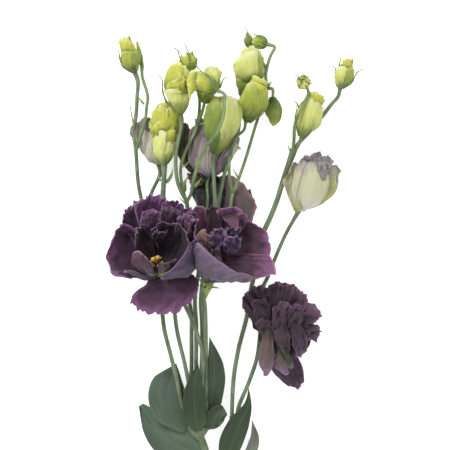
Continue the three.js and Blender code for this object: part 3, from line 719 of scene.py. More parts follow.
def shaped_petal(base, net, number, ruffle, waves, frill, teeth, crumple, back=False, pleat=0.2,
                 drop=0.1, arched=False, lobes=1.0, tint=None, rows=36, columns=36):
    """One petal over a net of places, in mm from the flower's base: rows from its foot to its rim. Its
    ruffle, frill, teeth, crumple and pleat are depths in mm, waves and lobes count the ruffles and teeth
    across, and drop is how far its corners fall short. back says that its outer side looks up, away from
    the table. An arched one is wrapped round a bud."""
    net = [np.array(row, float) for row in net]
    if arched:
        turn = np.linspace(-math.pi / 2, math.pi / 2, columns)[:, None]
        across = [middle + (right - left) / 2 * np.sin(turn)
                  + ((right + left) / 2 - middle) * (1 - np.cos(turn)) for left, middle, right in net]
    else:
        across = [eased(row, columns) for row in net]
    fine = eased(np.array(across), 160)
    rng = np.random.default_rng(number + 8000)
    s, u = shares(rows, columns)
    phase = rng.uniform(0, 2 * math.pi, 8)
    length = np.linalg.norm(np.diff(fine, axis=0), axis=2).sum(axis=0).max()
    scallop = 0.45
    for share, beats, start in zip((0.3, 0.2, 0.15), (8, 15, 23), phase[5:]):
        scallop = scallop + share * np.sin(beats * lobes * u + start)
    share = s * (1 - drop * np.abs(u) ** 4 - teeth / length * np.clip(scallop, 0, 1) * s**6)
    run = np.clip(share, 0, 1) * (len(fine) - 1.001)
    step = run.astype(int)
    column = np.broadcast_to(np.arange(columns), step.shape)
    part = (run - step)[:, :, None]
    grid = fine[step, column] * (1 - part) + fine[step + 1, column] * part
    normal = np.cross(np.gradient(grid, axis=1), np.gradient(grid, axis=0))
    upward = normal[:, :, 2].sum() > 0
    normal /= np.maximum(np.linalg.norm(normal, axis=2), 1e-9)[:, :, None]
    side = smooth((np.abs(u) - 0.65) / 0.35) * smooth((s - 0.25) / 0.5)
    edge = np.maximum(s**3, 0.6 * side)
    rim = np.maximum(np.clip((s - 0.65) / 0.35, 0, 1) ** 1.5, 0.6 * side)
    wave = 0.6 * np.sin(math.pi * waves * u + phase[0]) + 0.3 * np.sin(2.1 * math.pi * waves * u + phase[1])
    wave = wave + wander(rng, rows, columns, (4, int(2.5 * waves) + 4))
    wave = ruffle * (edge * wave + 0.4 * side * np.sin(4 * math.pi * s + phase[2] + 2 * u))
    wave = wave + frill * rim * wander(rng, rows, columns, (9, int(5 * waves) + 5))
    dents = wander(rng, rows, columns, (6, 6)) + 0.4 * wander(rng, rows, columns, (13, 12))
    wave = wave + crumple * smooth(s / 0.4) * dents
    folds = np.sin(6 * math.pi * u + 2 * wander(rng, rows, columns, (3, 4)))
    wave = wave + pleat * np.sin(math.pi * s) ** 0.7 * folds
    pale = (0.55 + 0.45 * smooth((np.abs(u) - 0.8) / 0.2)) * smooth(s / 0.5)
    if tint is None:
        tint = rng.uniform(0, 1)
    shape = shell(at(*base) + (grid + normal * wave[:, :, None]) * MM, PETAL_THICKNESS, tint, number,
                  edge=0.5, along=np.maximum(s, (0.35 if arched else 1.0) * pale))
    if back != upward:
        shape["outside"] = 1 - shape["outside"]
    return shape


def shaped(base, table, number, **kind):
    """Petals grouped by their finish. Each has a finish, the options of its form and its net."""
    groups = {}
    for k, (finish, form, net) in enumerate(table):
        petal_shape = shaped_petal(base, net, number + k, **kind, **form)
        groups.setdefault(finish.name, (finish, []))[1].append(petal_shape)
    return list(groups.values())


# Petal tissue: a few cells thin, moist and slightly see-through, so light glows in it. It looks silky, with
# veins 0.7 mm apart, a greener or darker foot, and a lighter rim with a fine lip. The dark of the foot is
# partly painted shade, where it lies hidden at the bottom of a bud or in the hollow of a flower.
def petal_material(name, foot, body, rim, back, variant, vein=0.25, glow=0.15, rim_start=0.72, foot_end=0.5,
                   spread=0.6, edge=None, edge_share=0.6):
    """body is the inner side's colour, back the outer side's, and variant what some petals drift to."""
    made, tree = material(name)
    along, outside, tint = known(tree)
    veins = mottle(tree, 0.7, 14, 1.0, Detail=4.0, Roughness=0.6)
    cloud = mottle(tree, 5, 9, 3.0, Detail=3.0)
    drift = add(tree, "Math", {0: cloud, 1: 0.5}, operation="SUBTRACT")
    slide = add(tree, "Math", {0: drift, 1: spread, 2: along}, operation="MULTIPLY_ADD")
    low = add(tree, "MapRange", {0: slide, 1: 0.0, 2: foot_end}, **EASED)
    high = add(tree, "MapRange", {0: slide, 1: rim_start, 2: 1.0}, **EASED)
    front = add(tree, "Mix", {0: tint, 6: body, 7: variant}, data_type="RGBA")
    sided = add(tree, "Mix", {0: outside, 6: front, 7: back}, data_type="RGBA")
    # Partly painted shade: the foot colour, dark in the blooms, fills the hidden foot and the flower's
    # hollow.
    footed = add(tree, "Mix", {0: low, 6: foot, 7: sided}, data_type="RGBA")
    rimmed = add(tree, "Mix", {0: high, 6: footed, 7: rim}, data_type="RGBA")
    fine = add(tree, "MapRange", {0: veins, 1: 0.4, 2: 0.72, 3: 0.0, 4: vein})
    veined = add(tree, "Mix", {0: fine, 6: rimmed, 7: foot}, data_type="RGBA")
    lip = add(tree, "MapRange", {0: along, 1: 0.965, 2: 0.995, 3: 0.0, 4: edge_share})
    skin = add(tree, "Mix", {0: lip, 6: veined, 7: edge or rim}, data_type="RGBA")
    bump = add(tree, "Bump", {"Height": veins, "Strength": 0.6, "Distance": 0.25 * MM})
    silk = {"Roughness": 0.55, "IOR": 1.4, "Sheen Weight": 0.12}
    shader = add(tree, "BsdfPrincipled", {"Base Color": skin, **silk, "Normal": bump})
    light = add(tree, "BsdfTranslucent", {"Color": skin, "Normal": bump})
    both = add(tree, "MixShader", {0: glow, 1: shader, 2: light})
    add(tree, "OutputMaterial", {"Surface": both})
    return made


# Bud petals, from ripe yellow to unripe green, all paler at the rim.
bud_yellow = petal_material(
    "yellow_green_bud_petal", "#7b8e3e", "#dfe05c", "#f0f1a4", "#d6d858", "#e8e880", glow=0.3,
    foot_end=0.65, spread=0.5)
bud_pale = petal_material(
    "pale_bud_petal", "#85964c", "#ecef96", "#f6f5c8", "#e8ec8f", "#f1f1b0", vein=0.22, glow=0.3,
    foot_end=0.55, spread=0.5, edge="#e6d8ae", edge_share=0.3)
bud_lime = petal_material(
    "lime_bud_petal", "#65783a", "#c2cb5d", "#e4e790", "#bac656", "#d0d672", vein=0.28, glow=0.3,
    foot_end=0.6, spread=0.5)
bud_green = petal_material(
    "green_bud_petal", "#5a7038", "#a6b857", "#d2da7c", "#9cae51", "#b6c463", vein=0.3, glow=0.3,
    foot_end=0.6, spread=0.5)
sepal_skin = green_skin("sepal_skin", "#55683a", "#7c9150", "#a7b670")

# Each bud's form, with its half widths at shares of its height, how its petals are wound, and its
# sepals: where each sits round the bud in degrees, its length, and how far it curls away. A bud is
# yellow unless its finish says otherwise.
bud_forms = {
    "bud_top_left": dict(
        form=[(0, 1, 1), (0.1, 4.6, 2.8), (0.25, 8.6, 4.9), (0.45, 9.2, 6.4), (0.65, 8, 6), (0.8, 6.8, 4.9),
              (0.92, 5.5, 3.7), (1, 4, 2.8)],
        tip=(-92, 199.5, 8), ruffle=0.035, twist=1.6,
        sepals=[(-100, 22, 4), (-60, 12, 2), (60, 14, 1), (160, 30, 2)]),
    "bud_top_left_slim": dict(
        form=[(0, 1, 1), (0.25, 1.6, 1.6), (0.5, 1.8, 1.8), (0.8, 1.2, 1.2), (1, 0.4, 0.4)],
        tip=(-83, 197, 19), finish=bud_green, count=3, sepals=[(60, 12, 1)]),
    "bud_large_left": dict(
        form=[(0, 1.5, 1.5), (0.08, 6, 5), (0.2, 8.4, 8.2), (0.35, 9.8, 9.8), (0.5, 11.5, 11.2),
              (0.65, 10.6, 12.2), (0.8, 8.4, 11.4), (0.92, 6.8, 7.6), (1, 4, 4)],
        ruffle=0.045, ridge=0.03, count=6,
        sepals=[(10, 17, 0), (-95, 20, 1), (95, 18, 1), (170, 20, 1)]),
    "bud_upper_left": dict(
        form=[(0, 1, 1), (0.08, 3.4, 4.4), (0.2, 8, 8.2), (0.38, 11, 10.6), (0.52, 12.8, 12.2),
              (0.65, 9.4, 10), (0.8, 6, 7), (0.93, 3.4, 4.5), (1, 2, 3.6)],
        ruffle=0.03, ridge=0.035, sepals=[(-88, 36, 4), (15, 16, 0), (120, 20, 1)]),
    "bud_small_top": dict(
        form=[(0, 2, 2), (0.2, 5, 4.4), (0.45, 7.2, 6.6), (0.7, 6.8, 6), (0.9, 5, 4.6), (1, 3.4, 3.4)],
        tip=(-42, 185.5, 36), ruffle=0.06,
        sepals=[(-70, 27, 4), (20, 26, 2), (60, 18, 3), (100, 12, 4), (-120, 14, 3)]),
    "bud_nodding": dict(
        form=[(0, 2, 2), (0.15, 5, 5), (0.35, 8, 8), (0.6, 8.6, 8.2), (0.8, 7.6, 7), (1, 4.6, 4.6)],
        tip=(-38.5, 168, 63), ruffle=0.04,
        sepals=[(-90, 24, 3), (80, 14, 1), (10, 12, 0)]),
    "bud_behind_nodding": dict(
        form=[(0, 1.5, 1.5), (0.12, 6, 6), (0.3, 7.2, 6), (0.6, 6, 6), (0.85, 6.4, 6), (1, 4.2, 4.2)],
        ruffle=0.05, sepals=[(-70, 24, 3), (70, 22, 4), (0, 10, 0)]),
    "bud_large_centre": dict(
        form=[(0, 1.5, 1.5), (0.06, 3, 5), (0.2, 6.8, 11), (0.4, 10.9, 15.8), (0.6, 13.6, 16.6),
              (0.8, 12.4, 15.6), (0.93, 8, 14), (1, 3.4, 10)],
        tip=(-11, 149, 52), ruffle=0.04, count=6,
        sepals=[(-60, 16, 1), (80, 16, 1), (15, 12, 0)]),
    "bud_upper_right": dict(
        form=[(0, 2, 2), (0.1, 3.6, 6), (0.3, 7.4, 9.3), (0.5, 11, 13), (0.6, 12.8, 11.6), (0.75, 8.8, 10.4),
              (0.9, 7, 8.7), (1, 6, 5.6)],
        tip=(15, 191, 18), ruffle=0.03, twist=0.7, sepals=[(-80, 30, 1), (100, 12, 1)]),
    "bud_right_front": dict(
        form=[(0, 2, 2), (0.12, 5.5, 5.8), (0.3, 7.6, 11.4), (0.5, 8, 12), (0.7, 8.2, 10.2), (0.85, 6.7, 9),
              (1, 5.4, 5)],
        base=(10.5, 127.5, 42), tip=(20, 165, 42), finish=bud_lime, ruffle=0.06,
        sepals=[(-70, 16, 1), (60, 14, 1), (110, 26, 3)]),
    "bud_drooping": dict(
        form=[(0, 2, 2), (0.2, 5.2, 3.6), (0.4, 6.6, 6.2), (0.6, 6.5, 5.8), (0.8, 5.1, 3.9), (1, 1.4, 1.4)],
        finish=bud_green, sepals=[(90, 20, 1), (-30, 16, 0)]),
    "bud_tip_pointed": dict(
        form=[(0, 1, 1), (0.2, 2.6, 2.6), (0.45, 2.9, 2.9), (0.75, 1.9, 1.9), (1, 0.5, 0.5)],
        tip=(10.5, 205, 6), finish=bud_green, count=3, sepals=[(0, 19, 0), (90, 12, 1), (-90, 11, 1)]),
    "bud_tip_round": dict(
        form=[(0, 1.5, 1.5), (0.15, 3.8, 3.8), (0.5, 5.3, 5.3), (0.85, 3.9, 3.9), (1, 1.8, 1.8)],
        finish=bud_lime, sepals=[(90, 15, 3), (0, 9, 1), (-80, 11, 1)]),
    "bud_star": dict(
        form=[(0, 2, 2), (0.2, 4.4, 4.4), (0.5, 5.6, 5.6), (0.8, 5.2, 5.2), (1, 3.2, 3.2)],
        press=1.0, ruffle=0.06, close=True,
        sepals=[(-40, 12, 5), (30, 11, 5), (100, 11, 5), (170, 13, 5), (240, 11, 5), (-160, 12, 5)]),
    "bud_right_leaning": dict(
        form=[(0, 2, 2), (0.1, 4.6, 3.6), (0.25, 7.9, 8), (0.45, 10, 10.8), (0.65, 10.8, 9.3),
              (0.8, 8.4, 8.4), (0.93, 6.9, 8.2), (1, 5, 5.3)],
        base=(56.5, 115.5, 15), tip=(68.5, 152.5, 15), ruffle=0.045,
        sepals=[(-95, 30, 2), (70, 18, 1), (0, 12, 0)]),
    "bud_far_right": dict(
        form=[(0, 2, 2), (0.12, 4, 4.6), (0.3, 6.3, 8), (0.5, 6.9, 8.4), (0.7, 5.7, 6.4), (0.85, 4, 4.6),
              (1, 2.8, 3)],
        tip=(96.5, 181.5, 9.5), ruffle=0.05, twist=1.4,
        sepals=[(-95, 13, 1), (85, 22, 6), (-40, 30, 1)]),
}
# The outermost petals of the larger buds, each laid over a net of places from its foot to its rim. A
# tight one lies smooth on the bud, and a loose one is more crumpled. Depths are in millimetres.
tight = dict(ruffle=0.35, waves=2.5, frill=0.25, teeth=0.35, crumple=0.4)
loose = dict(ruffle=0.5, waves=2.5, frill=0.45, teeth=0.45, crumple=0.5)
folds = {
    "bud_top_left": [
        (bud_lime, tight, [
            [(-2, 1, 2), (0, 0, 3), (1, 1, 2)], [(-9, 6, 0), (-4, 6, 9), (2, 7, 0)],
            [(-12, 14, 0), (-5, 14, 10), (2, 14, 0)], [(-12, 20, 0), (-5, 18, 10), (2, 19, 0)]]),
        (bud_yellow, tight, [
            [(-10, 14, 0), (-5, 14, 8), (0, 14, 0)], [(-13, 22, 0), (-7, 21, 9), (0, 20, 0)],
            [(-13, 28, 0), (-7, 28, 6), (-2, 25, 0)]]),
    ],
    "bud_large_left": [
        (bud_pale, dict(tight, drop=0.2), [
            [(-1, 0, 4), (0, 0, 5), (2, 1, 4)], [(-5, 7, 10), (2, 7, 11), (7, 8, 0)],
            [(-5, 14, 11), (4, 13, 13), (10, 15, 0)], [(-4, 20, 10), (5, 19, 13), (11, 21, 0)]]),
        (bud_yellow, dict(loose, drop=0.2, crumple=0.8), [
            [(-3, 12, 9), (4, 12, 10), (10, 13, 0)], [(-2, 21, 9), (5, 22, 13), (12, 23, 0)],
            [(-4, 28, 10), (5, 31, 13), (12, 28, 0)]]),
        (bud_yellow, dict(loose, drop=0.25, crumple=0.9), [
            [(-9, 20, 0), (-3, 20, 9), (3, 21, 9)], [(-12, 31, 0), (-5, 31, 12), (4, 31, 12)],
            [(-10, 41, 0), (-4, 42, 12), (4, 41, 12)], [(-7, 48, 0), (-3, 50, 9), (3, 48, 9)]]),
        (bud_yellow, dict(loose, drop=0.25, crumple=0.9), [
            [(0, 20, 9), (5, 20, 9), (11, 22, 0)], [(-1, 30, 12), (6, 31, 13), (13, 32, 0)],
            [(-2, 40, 12), (6, 41, 12), (13, 41, 0)], [(1, 47, 8), (6, 49, 8), (11, 46, 0)]]),
        (bud_yellow, dict(loose, drop=0.35, crumple=0.8, pleat=0.5), [
            [(-10, 23, 0), (-1, 22, 11), (9, 24, 0)], [(-12, 30, 0), (-1, 30, 14), (11, 31, 0)],
            [(-10, 35, 0), (0, 38, 14), (11, 42, 0)]]),
        (bud_yellow, loose, [
            [(-5, 40, 0), (2, 41, 6), (9, 40, 0)], [(-5, 47, 0), (1, 47, 8), (9, 47, 0)],
            [(-5, 51, 0), (1, 52, 5), (8, 50, 0)]]),
        (bud_pale, dict(loose, drop=0.3), [
            [(-2, 1, 3), (0, 0, 5), (1, 0, 6)], [(-8, 8, 0), (-5, 7, 11), (0, 7, 12)],
            [(-10, 18, 0), (-5, 18, 13), (1, 18, 15)], [(-11, 25, 0), (-4, 29, 13), (4, 25, 14)]]),
    ],
    "bud_upper_left": [
        (bud_yellow, dict(tight, drop=0.3), [
            [(-9, 16, 0), (-4, 16, 8), (1, 16, 0)], [(-14, 24, 0), (-8, 26, 12), (1, 26, 13)],
            [(-13, 30, 0), (-7, 34, 11), (2, 34, 12)], [(-9, 38, 0), (-5, 41, 8), (2, 40, 9)],
            [(-6, 43, 0), (-3, 44, 5), (1, 43, 0)]]),
        (bud_pale, dict(tight, drop=0.3), [
            [(-1, 17, 0), (4, 17, 8), (8, 18, 0)], [(-2, 26, 13), (4, 27, 12), (9, 28, 0)],
            [(-2, 34, 12), (4, 35, 10), (8, 34, 0)], [(-2, 41, 0), (2, 42, 7), (5, 39, 0)]]),
        (bud_pale, dict(tight, drop=0.3), [
            [(-2, 1, 3), (0, 0, 4), (2, 1, 3)], [(-8, 9, 9), (-1, 9, 13), (7, 10, 0)],
            [(-12, 17, 10), (-2, 17, 16), (9, 18, 0)], [(-13, 23, 10), (-2, 22, 17), (9, 25, 0)]]),
        (bud_yellow, dict(loose, drop=0.35, crumple=0.8, pleat=0.5), [
            [(-10, 17, 12), (-2, 17, 15), (7, 18, 10)], [(-11, 23, 13), (-2, 25, 17), (8, 28, 10)],
            [(-9, 27, 11), (-1, 31, 15), (6, 35, 9)]]),
    ],
    "bud_nodding": [
        (bud_yellow, loose, [
            [(-15, 14, 3), (-13, 9, 5), (-14, 4, 3)], [(-19, 16, 0), (-19, 9, 7), (-18, 1, 0)],
            [(-23, 13, 0), (-22, 6, 5), (-22, -4, 0)], [(-25, 9, 0), (-25, 2, 1), (-24, -7, 0)]]),
        (bud_yellow, tight, [
            [(-2, 2, 0), (-2, 1, 1), (-3, 0, 0)], [(-6, 9, 0), (-7, 4, 8), (-8, -1, 0)],
            [(-13, 14, 0), (-13, 8, 9), (-13, 1, 0)], [(-18, 15, 0), (-18, 9, 7), (-17, 2, 0)]]),
    ],
    "bud_large_centre": [
        (bud_pale, dict(tight, teeth=0.7, pleat=0.3), [
            [(0, 1, 2), (1, 1, 2), (2, 1, 1)], [(2, 12, 12), (11, 14, 12), (18, 17, 0)],
            [(5, 26, 15), (15, 27, 15), (23, 28, 0)], [(7, 39, 14), (16, 39, 14), (24, 38, 0)],
            [(7, 50, 9), (15, 48, 9), (22, 45, 0)]]),
        (bud_green, dict(tight, drop=0.3), [
            [(-2, 1, 3), (0, 1, 4), (1, 1, 4)], [(-5, 12, 9), (0, 12, 14), (5, 12, 14)],
            [(-8, 24, 9), (-1, 25, 17), (7, 25, 16)], [(-8, 34, 0), (0, 36, 16), (8, 35, 15)],
            [(-3, 44, 0), (1, 49, 11), (5, 44, 11)]]),
    ],
    "bud_upper_right": [
        (bud_lime, tight, [
            [(0, 1, 2), (2, 1, 2), (3, 2, 1)], [(8, 10, 0), (14, 12, 6), (17, 15, 0)],
            [(10, 20, 12), (15, 22, 8), (18, 23, 0)], [(9, 31, 12), (14, 32, 9), (18, 31, 0)],
            [(6, 40, 0), (11, 39, 7), (17, 36, 0)]]),
        (bud_yellow, tight, [
            [(-2, 21, 0), (6, 22, 11), (14, 21, 0)], [(-1, 32, 0), (7, 33, 11), (16, 31, 0)],
            [(1, 40, 0), (7, 41, 8), (14, 39, 0)]]),
        (bud_green, tight, [
            [(-1, 1, 2), (0, 1, 4), (2, 1, 4)], [(-4, 8, 0), (2, 10, 8), (8, 10, 0)],
            [(-6, 17, 0), (2, 17, 10), (10, 17, 10)]]),
        (bud_pale, dict(tight, drop=0.05), [
            [(-5, 13, 0), (0, 13, 9), (6, 13, 11)], [(-6, 19, 0), (2, 18, 14), (12, 18, 12)],
            [(-8, 25, 0), (2, 27, 16), (13, 28, 12)], [(-3, 31, 0), (4, 38, 12), (13, 37, 9)]]),
    ],
    "bud_right_front": [
        (bud_yellow, loose, [
            [(4, 23, 0), (8, 23, 9), (12, 23, 0)], [(5, 32, 0), (11, 32, 11), (17, 30, 0)],
            [(5, 39, 0), (11, 38, 8), (20, 33, 0)]]),
        (bud_lime, tight, [
            [(2, 0, 2), (4, 0, 2), (5, 1, 1)], [(6, 6, 0), (12, 9, 8), (17, 11, 0)],
            [(9, 16, 14), (15, 18, 11), (19, 18, 0)], [(9, 26, 14), (14, 28, 12), (19, 26, 0)]]),
        (bud_yellow, loose, [
            [(4, 18, 12), (9, 18, 14), (13, 18, 12)], [(4, 27, 13), (10, 27, 17), (16, 26, 12)],
            [(3, 35, 10), (11, 32, 17), (18, 28, 11)]]),
        (bud_lime, dict(tight, drop=0.05), [
            [(0, 0, 3), (1, 0, 4), (2, 0, 5)], [(-3, 7, 0), (3, 8, 11), (11, 8, 9)],
            [(-3, 12, 9), (4, 16, 16), (14, 16, 12)], [(-6, 16, 13), (3, 24, 19), (12, 23, 15)],
            [(0, 24, 13), (3, 33, 17), (10, 29, 15)]]),
    ],
    "bud_right_leaning": [
        (bud_yellow, loose, [
            [(5, 24, 9), (9, 24, 11), (14, 23, 9)], [(5, 31, 0), (11, 32, 13), (18, 28, 9)],
            [(6, 36, 0), (13, 37, 10), (21, 31, 0)]]),
        (bud_pale, tight, [
            [(3, 1, 2), (5, 1, 2), (6, 3, 1)], [(9, 6, 9), (13, 8, 8), (16, 9, 0)],
            [(13, 17, 12), (16, 18, 8), (18, 18, 0)], [(13, 25, 11), (17, 25, 8), (19, 25, 0)]]),
        (bud_pale, tight, [
            [(-1, 0, 3), (1, -1, 4), (2, 0, 3)], [(-3, 8, 0), (2, 7, 12), (10, 8, 9)],
            [(-4, 18, 0), (4, 17, 14), (15, 15, 10)], [(-1, 26, 0), (7, 27, 14), (16, 23, 10)],
            [(3, 32, 0), (10, 32, 11), (16, 29, 9)]]),
    ],
    "bud_far_right": [
        (bud_yellow, tight, [
            [(2, 14, 0), (6, 14, 8), (9, 14, 0)], [(2, 20, 0), (6, 20, 8), (11, 20, 0)],
            [(3, 24, 0), (7, 25, 5), (11, 22, 0)]]),
        (bud_lime, tight, [
            [(1, 1, 3), (2, 1, 3), (3, 1, 2)], [(3, 6, 9), (7, 6, 9), (11, 7, 0)],
            [(3, 13, 9), (8, 13, 9), (12, 13, 0)], [(4, 18, 0), (8, 18, 7), (11, 18, 0)]]),
        (bud_pale, tight, [
            [(-2, 1, 3), (0, 0, 4), (1, 1, 3)], [(-4, 6, 0), (0, 6, 10), (3, 6, 9)],
            [(-4, 13, 0), (0, 13, 11), (5, 12, 10)], [(-1, 18, 0), (2, 19, 9), (6, 17, 9)]]),
    ],
    "bud_behind_nodding": [
        (bud_pale, loose, [
            [(2, 12, 0), (7, 11, 10), (13, 12, 0)], [(2, 22, 0), (7, 21, 11), (14, 22, 0)],
            [(2, 29, 0), (7, 31, 7), (13, 29, 0)]]),
    ],
}
# Free sepals: fine spikes that stand clear of the buds.
needles = {
    "bud_top_left": [
        [(-95, 177, 10), (-98, 183.5, 12), (-98.5, 187, 14), (-99.5, 190.5, 15)],
        [(-93.5, 196.5, 12), (-97, 198.5, 13), (-98, 200, 13)],
        [(-89, 198, 11), (-89.5, 200.5, 12), (-90.5, 202.5, 12)]],
    "bud_top_left_slim": [
        [(-83, 171.5, 20), (-82, 177, 22), (-81, 183, 23), (-81.5, 188, 22), (-83.5, 194, 20),
         (-83, 198, 19)]],
    "bud_upper_left": [
        [(-58, 143.5, 48), (-60, 149.5, 48), (-61.5, 156.5, 47), (-61.5, 162.5, 46), (-63.5, 166, 46),
         (-66, 167, 46)]],
    "bud_small_top": [
        [(-44, 172.5, 40), (-45.5, 178.5, 43), (-47.5, 184.5, 44), (-49.5, 189.5, 43), (-53, 190.5, 42)],
        [(-38, 177, 42), (-39, 185.5, 43), (-41, 190.5, 43), (-43, 195.5, 42)],
        [(-41.5, 173.5, 44), (-38, 170, 46), (-35.5, 166, 46)],
        [(-34, 177, 40), (-31.5, 174, 42), (-29.5, 171.5, 43)],
        [(-41, 175, 46), (-43, 169, 47), (-41.5, 164, 47)],
        [(-36.5, 185.5, 40), (-36, 187.5, 40), (-35.5, 188.5, 40)]],
    "bud_nodding": [
        [(-17, 160, 78), (-22, 165, 77), (-27, 169, 75), (-32, 174, 73)],
        [(-18, 161.5, 78), (-21, 166, 76), (-25.5, 168.5, 74), (-30, 171, 73)]],
    "bud_behind_nodding": [
        [(-13, 156.5, 46), (-11, 161.5, 48), (-9.5, 164.5, 48), (-6, 166.5, 48)]],
    "bud_large_left": [
        [(-68, 132, 44), (-67.5, 136, 45), (-66.5, 139.5, 45), (-64.5, 142, 45)]],
    "bud_tip_pointed": [
        [(12, 198, 8), (10.5, 203, 8), (10, 206.5, 8), (10, 209.5, 8)]],
    "bud_tip_round": [
        [(24, 200, 18), (20.5, 201, 19), (17.5, 202, 19), (15, 204, 19)],
        [(25.5, 194, 16), (19.5, 191, 18), (14, 194.5, 18)]],
    "bud_star": [
        [(56.5, 162.5, 30), (54, 166, 31), (50.5, 168.5, 31)],
        [(58.5, 163.5, 31), (58, 167, 32), (57, 170.5, 32)],
        [(60, 162.5, 30), (63, 160.5, 30), (65.5, 161, 30)],
        [(56.5, 160, 30), (54, 159, 30), (53, 158.5, 30)],
        [(59.5, 159, 30), (61, 157, 30), (61.5, 155.5, 30)],
        [(55, 164, 30), (54.5, 165.5, 31), (54, 166, 31)]],
    "bud_right_leaning": [
        [(52.5, 126, 18), (51, 131.5, 18), (53, 138.5, 20), (56.5, 144, 20), (59.5, 147.5, 19)],
        [(54, 140, 20), (53, 143, 21), (50.5, 146, 21)]],
    "bud_far_right": [
        [(88, 174.5, 13), (89, 179, 14), (89.5, 184, 14)],
        [(85.5, 165.5, 12), (85.5, 169.5, 13), (85, 173.5, 13), (82.5, 176.5, 13)],
        [(97.5, 160, 12), (100, 163.5, 14), (102.5, 168.5, 14), (106, 172, 14), (109.5, 173.5, 13)],
        [(99, 177, 13), (99.5, 180.5, 14), (100, 183, 14)]],
    "bud_upper_right": [
        [(4.5, 151.5, 24), (2.5, 160, 25), (0.5, 168.5, 25)]],
}
for number, (name, form) in enumerate(bud_forms.items()):
    base, tip = buds[name]
    seen_base, seen_tip = form.get("base", base), form.get("tip", tip)
    body, length = bud_body(seen_base, seen_tip, form["form"], form.get("press", 0.85))
    ruffle, ridge = form.get("ruffle", 0.02), form.get("ridge", 0.0)
    # The outermost petals hide those below, which are then made smaller and coarser.
    rows, columns, scale = (24, 14, 0.85) if name in folds else (32, 20, 1.0)
    petals = wound(body, form.get("count", 5), form.get("twist", 1.1), ruffle, ridge, number * 0.8, number,
                   rows, columns, scale)
    if length > 20 * MM:
        petals += wound(body, 3, 0.8, ruffle * 1.4, turn=number * 0.8 + 0.5, number=number + 40, rows=24,
                        columns=14, scale=0.72)
    if form.get("close"):
        # This one points at the eye: a closed cap and a filled middle hide its open top.
        cap = [(0.5, 4.6, 4.6), (0.8, 4.0, 4.0), (0.95, 2.2, 2.2), (1, 0.4, 0.4)]
        petals += wound(bud_body(base, tip, cap, 1.0)[0], 5, 2.2, 0.02, number=number + 60)
        middle = body(np.array([0.3, 0.6, 0.9]), 0, 0)
        petals.append(tube(
            middle, lambda s: 2.6 * MM * math.sqrt(max(0.05, 1 - s**4)), step=0.0005, number=number))
    sepals = [sepal(body, length, *one, number=number * 5 + k) for k, one in enumerate(form["sepals"])]
    for k, places in enumerate(needles.get(name, [])):
        sepals.append(tube([at(*place) for place in places], lambda s: (0.8 - 0.45 * s) * MM, sides=7,
                           step=0.001, flat=0.7, number=number * 7 + k))
    outer = shaped(
        base, folds.get(name, []), 500 + 20 * number, back=True, arched=True, rows=32, columns=28)
    finish = form.get("finish", bud_yellow)
    piece(f"{name}_petals", [(finish, petals), (sepal_skin, sepals), *outer], [name])


# ----------------------------------------
# Petals of the open flowers: broad silky fans, cupped round the flower, with a rim that is cut
# into small teeth and gathered into ruffles.
def petal(base, axis, turn, length, width, start, opening, ruffle, press, number):
    """One broad back petal. It leaves the axis at start degrees and ends at opening. turn is its place
    round the flower, sizes are in millimetres, and press flattens the flower on the table."""
    rows, columns, waves = 32, 26, 2.5
    rng = np.random.default_rng(number + 3000)
    out, side = (outward(axis, math.radians(turn + more)) for more in (0, 90))
    fine = np.linspace(0, 1.15, 160)
    angle = np.radians(start + (opening - start) * fine)
    radial = 3 + np.concatenate([[0], np.cumsum(np.sin(angle[:-1]) * np.diff(fine))]) * length
    rise = 5 + np.concatenate([[0], np.cumsum(np.cos(angle[:-1]) * np.diff(fine))]) * length
    s, u = shares(rows, columns)
    teeth = 0.0
    for depth, beats in ((0.5, 7), (0.3, 13), (0.25, 21)):
        teeth = teeth + depth * np.sin(beats * u + rng.uniform(0, 6))
    reach = s * (1 - 0.2 * np.abs(u) ** 2.6 + 0.04 * teeth * s**3)
    r, h, theta = (np.interp(reach, fine, values) for values in (radial, rise, angle))
    fan = 0.16 + 0.84 * np.sin(math.pi / 2 * np.clip(reach / 0.78, 0, 1)) ** 0.95
    arc = u * fan * (1 - 0.16 * smooth((reach - 0.8) / 0.25)) * width / 2
    curve = 1 / np.maximum(np.abs(r) + 4, 6)
    swing = np.clip(arc * curve, -2.2, 2.2)
    late = np.clip(reach, 0, 1.2) ** 3
    phase = rng.uniform(0, 2 * math.pi, 4)
    wave = np.sin(math.pi * waves * u + phase[0]) + 0.5 * np.sin(2.3 * math.pi * waves * u + phase[1])
    rim = np.clip((reach - 0.7) / 0.3, 0, 1) ** 1.5
    wave = ruffle * late * wave + 0.7 * rim * wander(rng, rows, columns, (7, 13))
    wave = wave + 1.2 * smooth(reach / 0.5) * wander(rng, rows, columns)
    wave = wave - 0.5 * np.exp(-(arc / 1.6) ** 2) * smooth(reach / 0.3) + (1 - np.cos(swing)) / curve
    shift = np.sin(swing) / curve + 0.25 * ruffle * late * np.cos(math.pi * waves * 2 * u + phase[1])
    radius, height = r - np.cos(theta) * wave, h + np.sin(theta) * wave
    offset = (out * radius[:, :, None] + side * shift[:, :, None] + axis * height[:, :, None]) * MM
    offset[:, :, 2] *= press
    return shell(at(*base) + offset, PETAL_THICKNESS, rng.uniform(0, 1), number, edge=0.5)


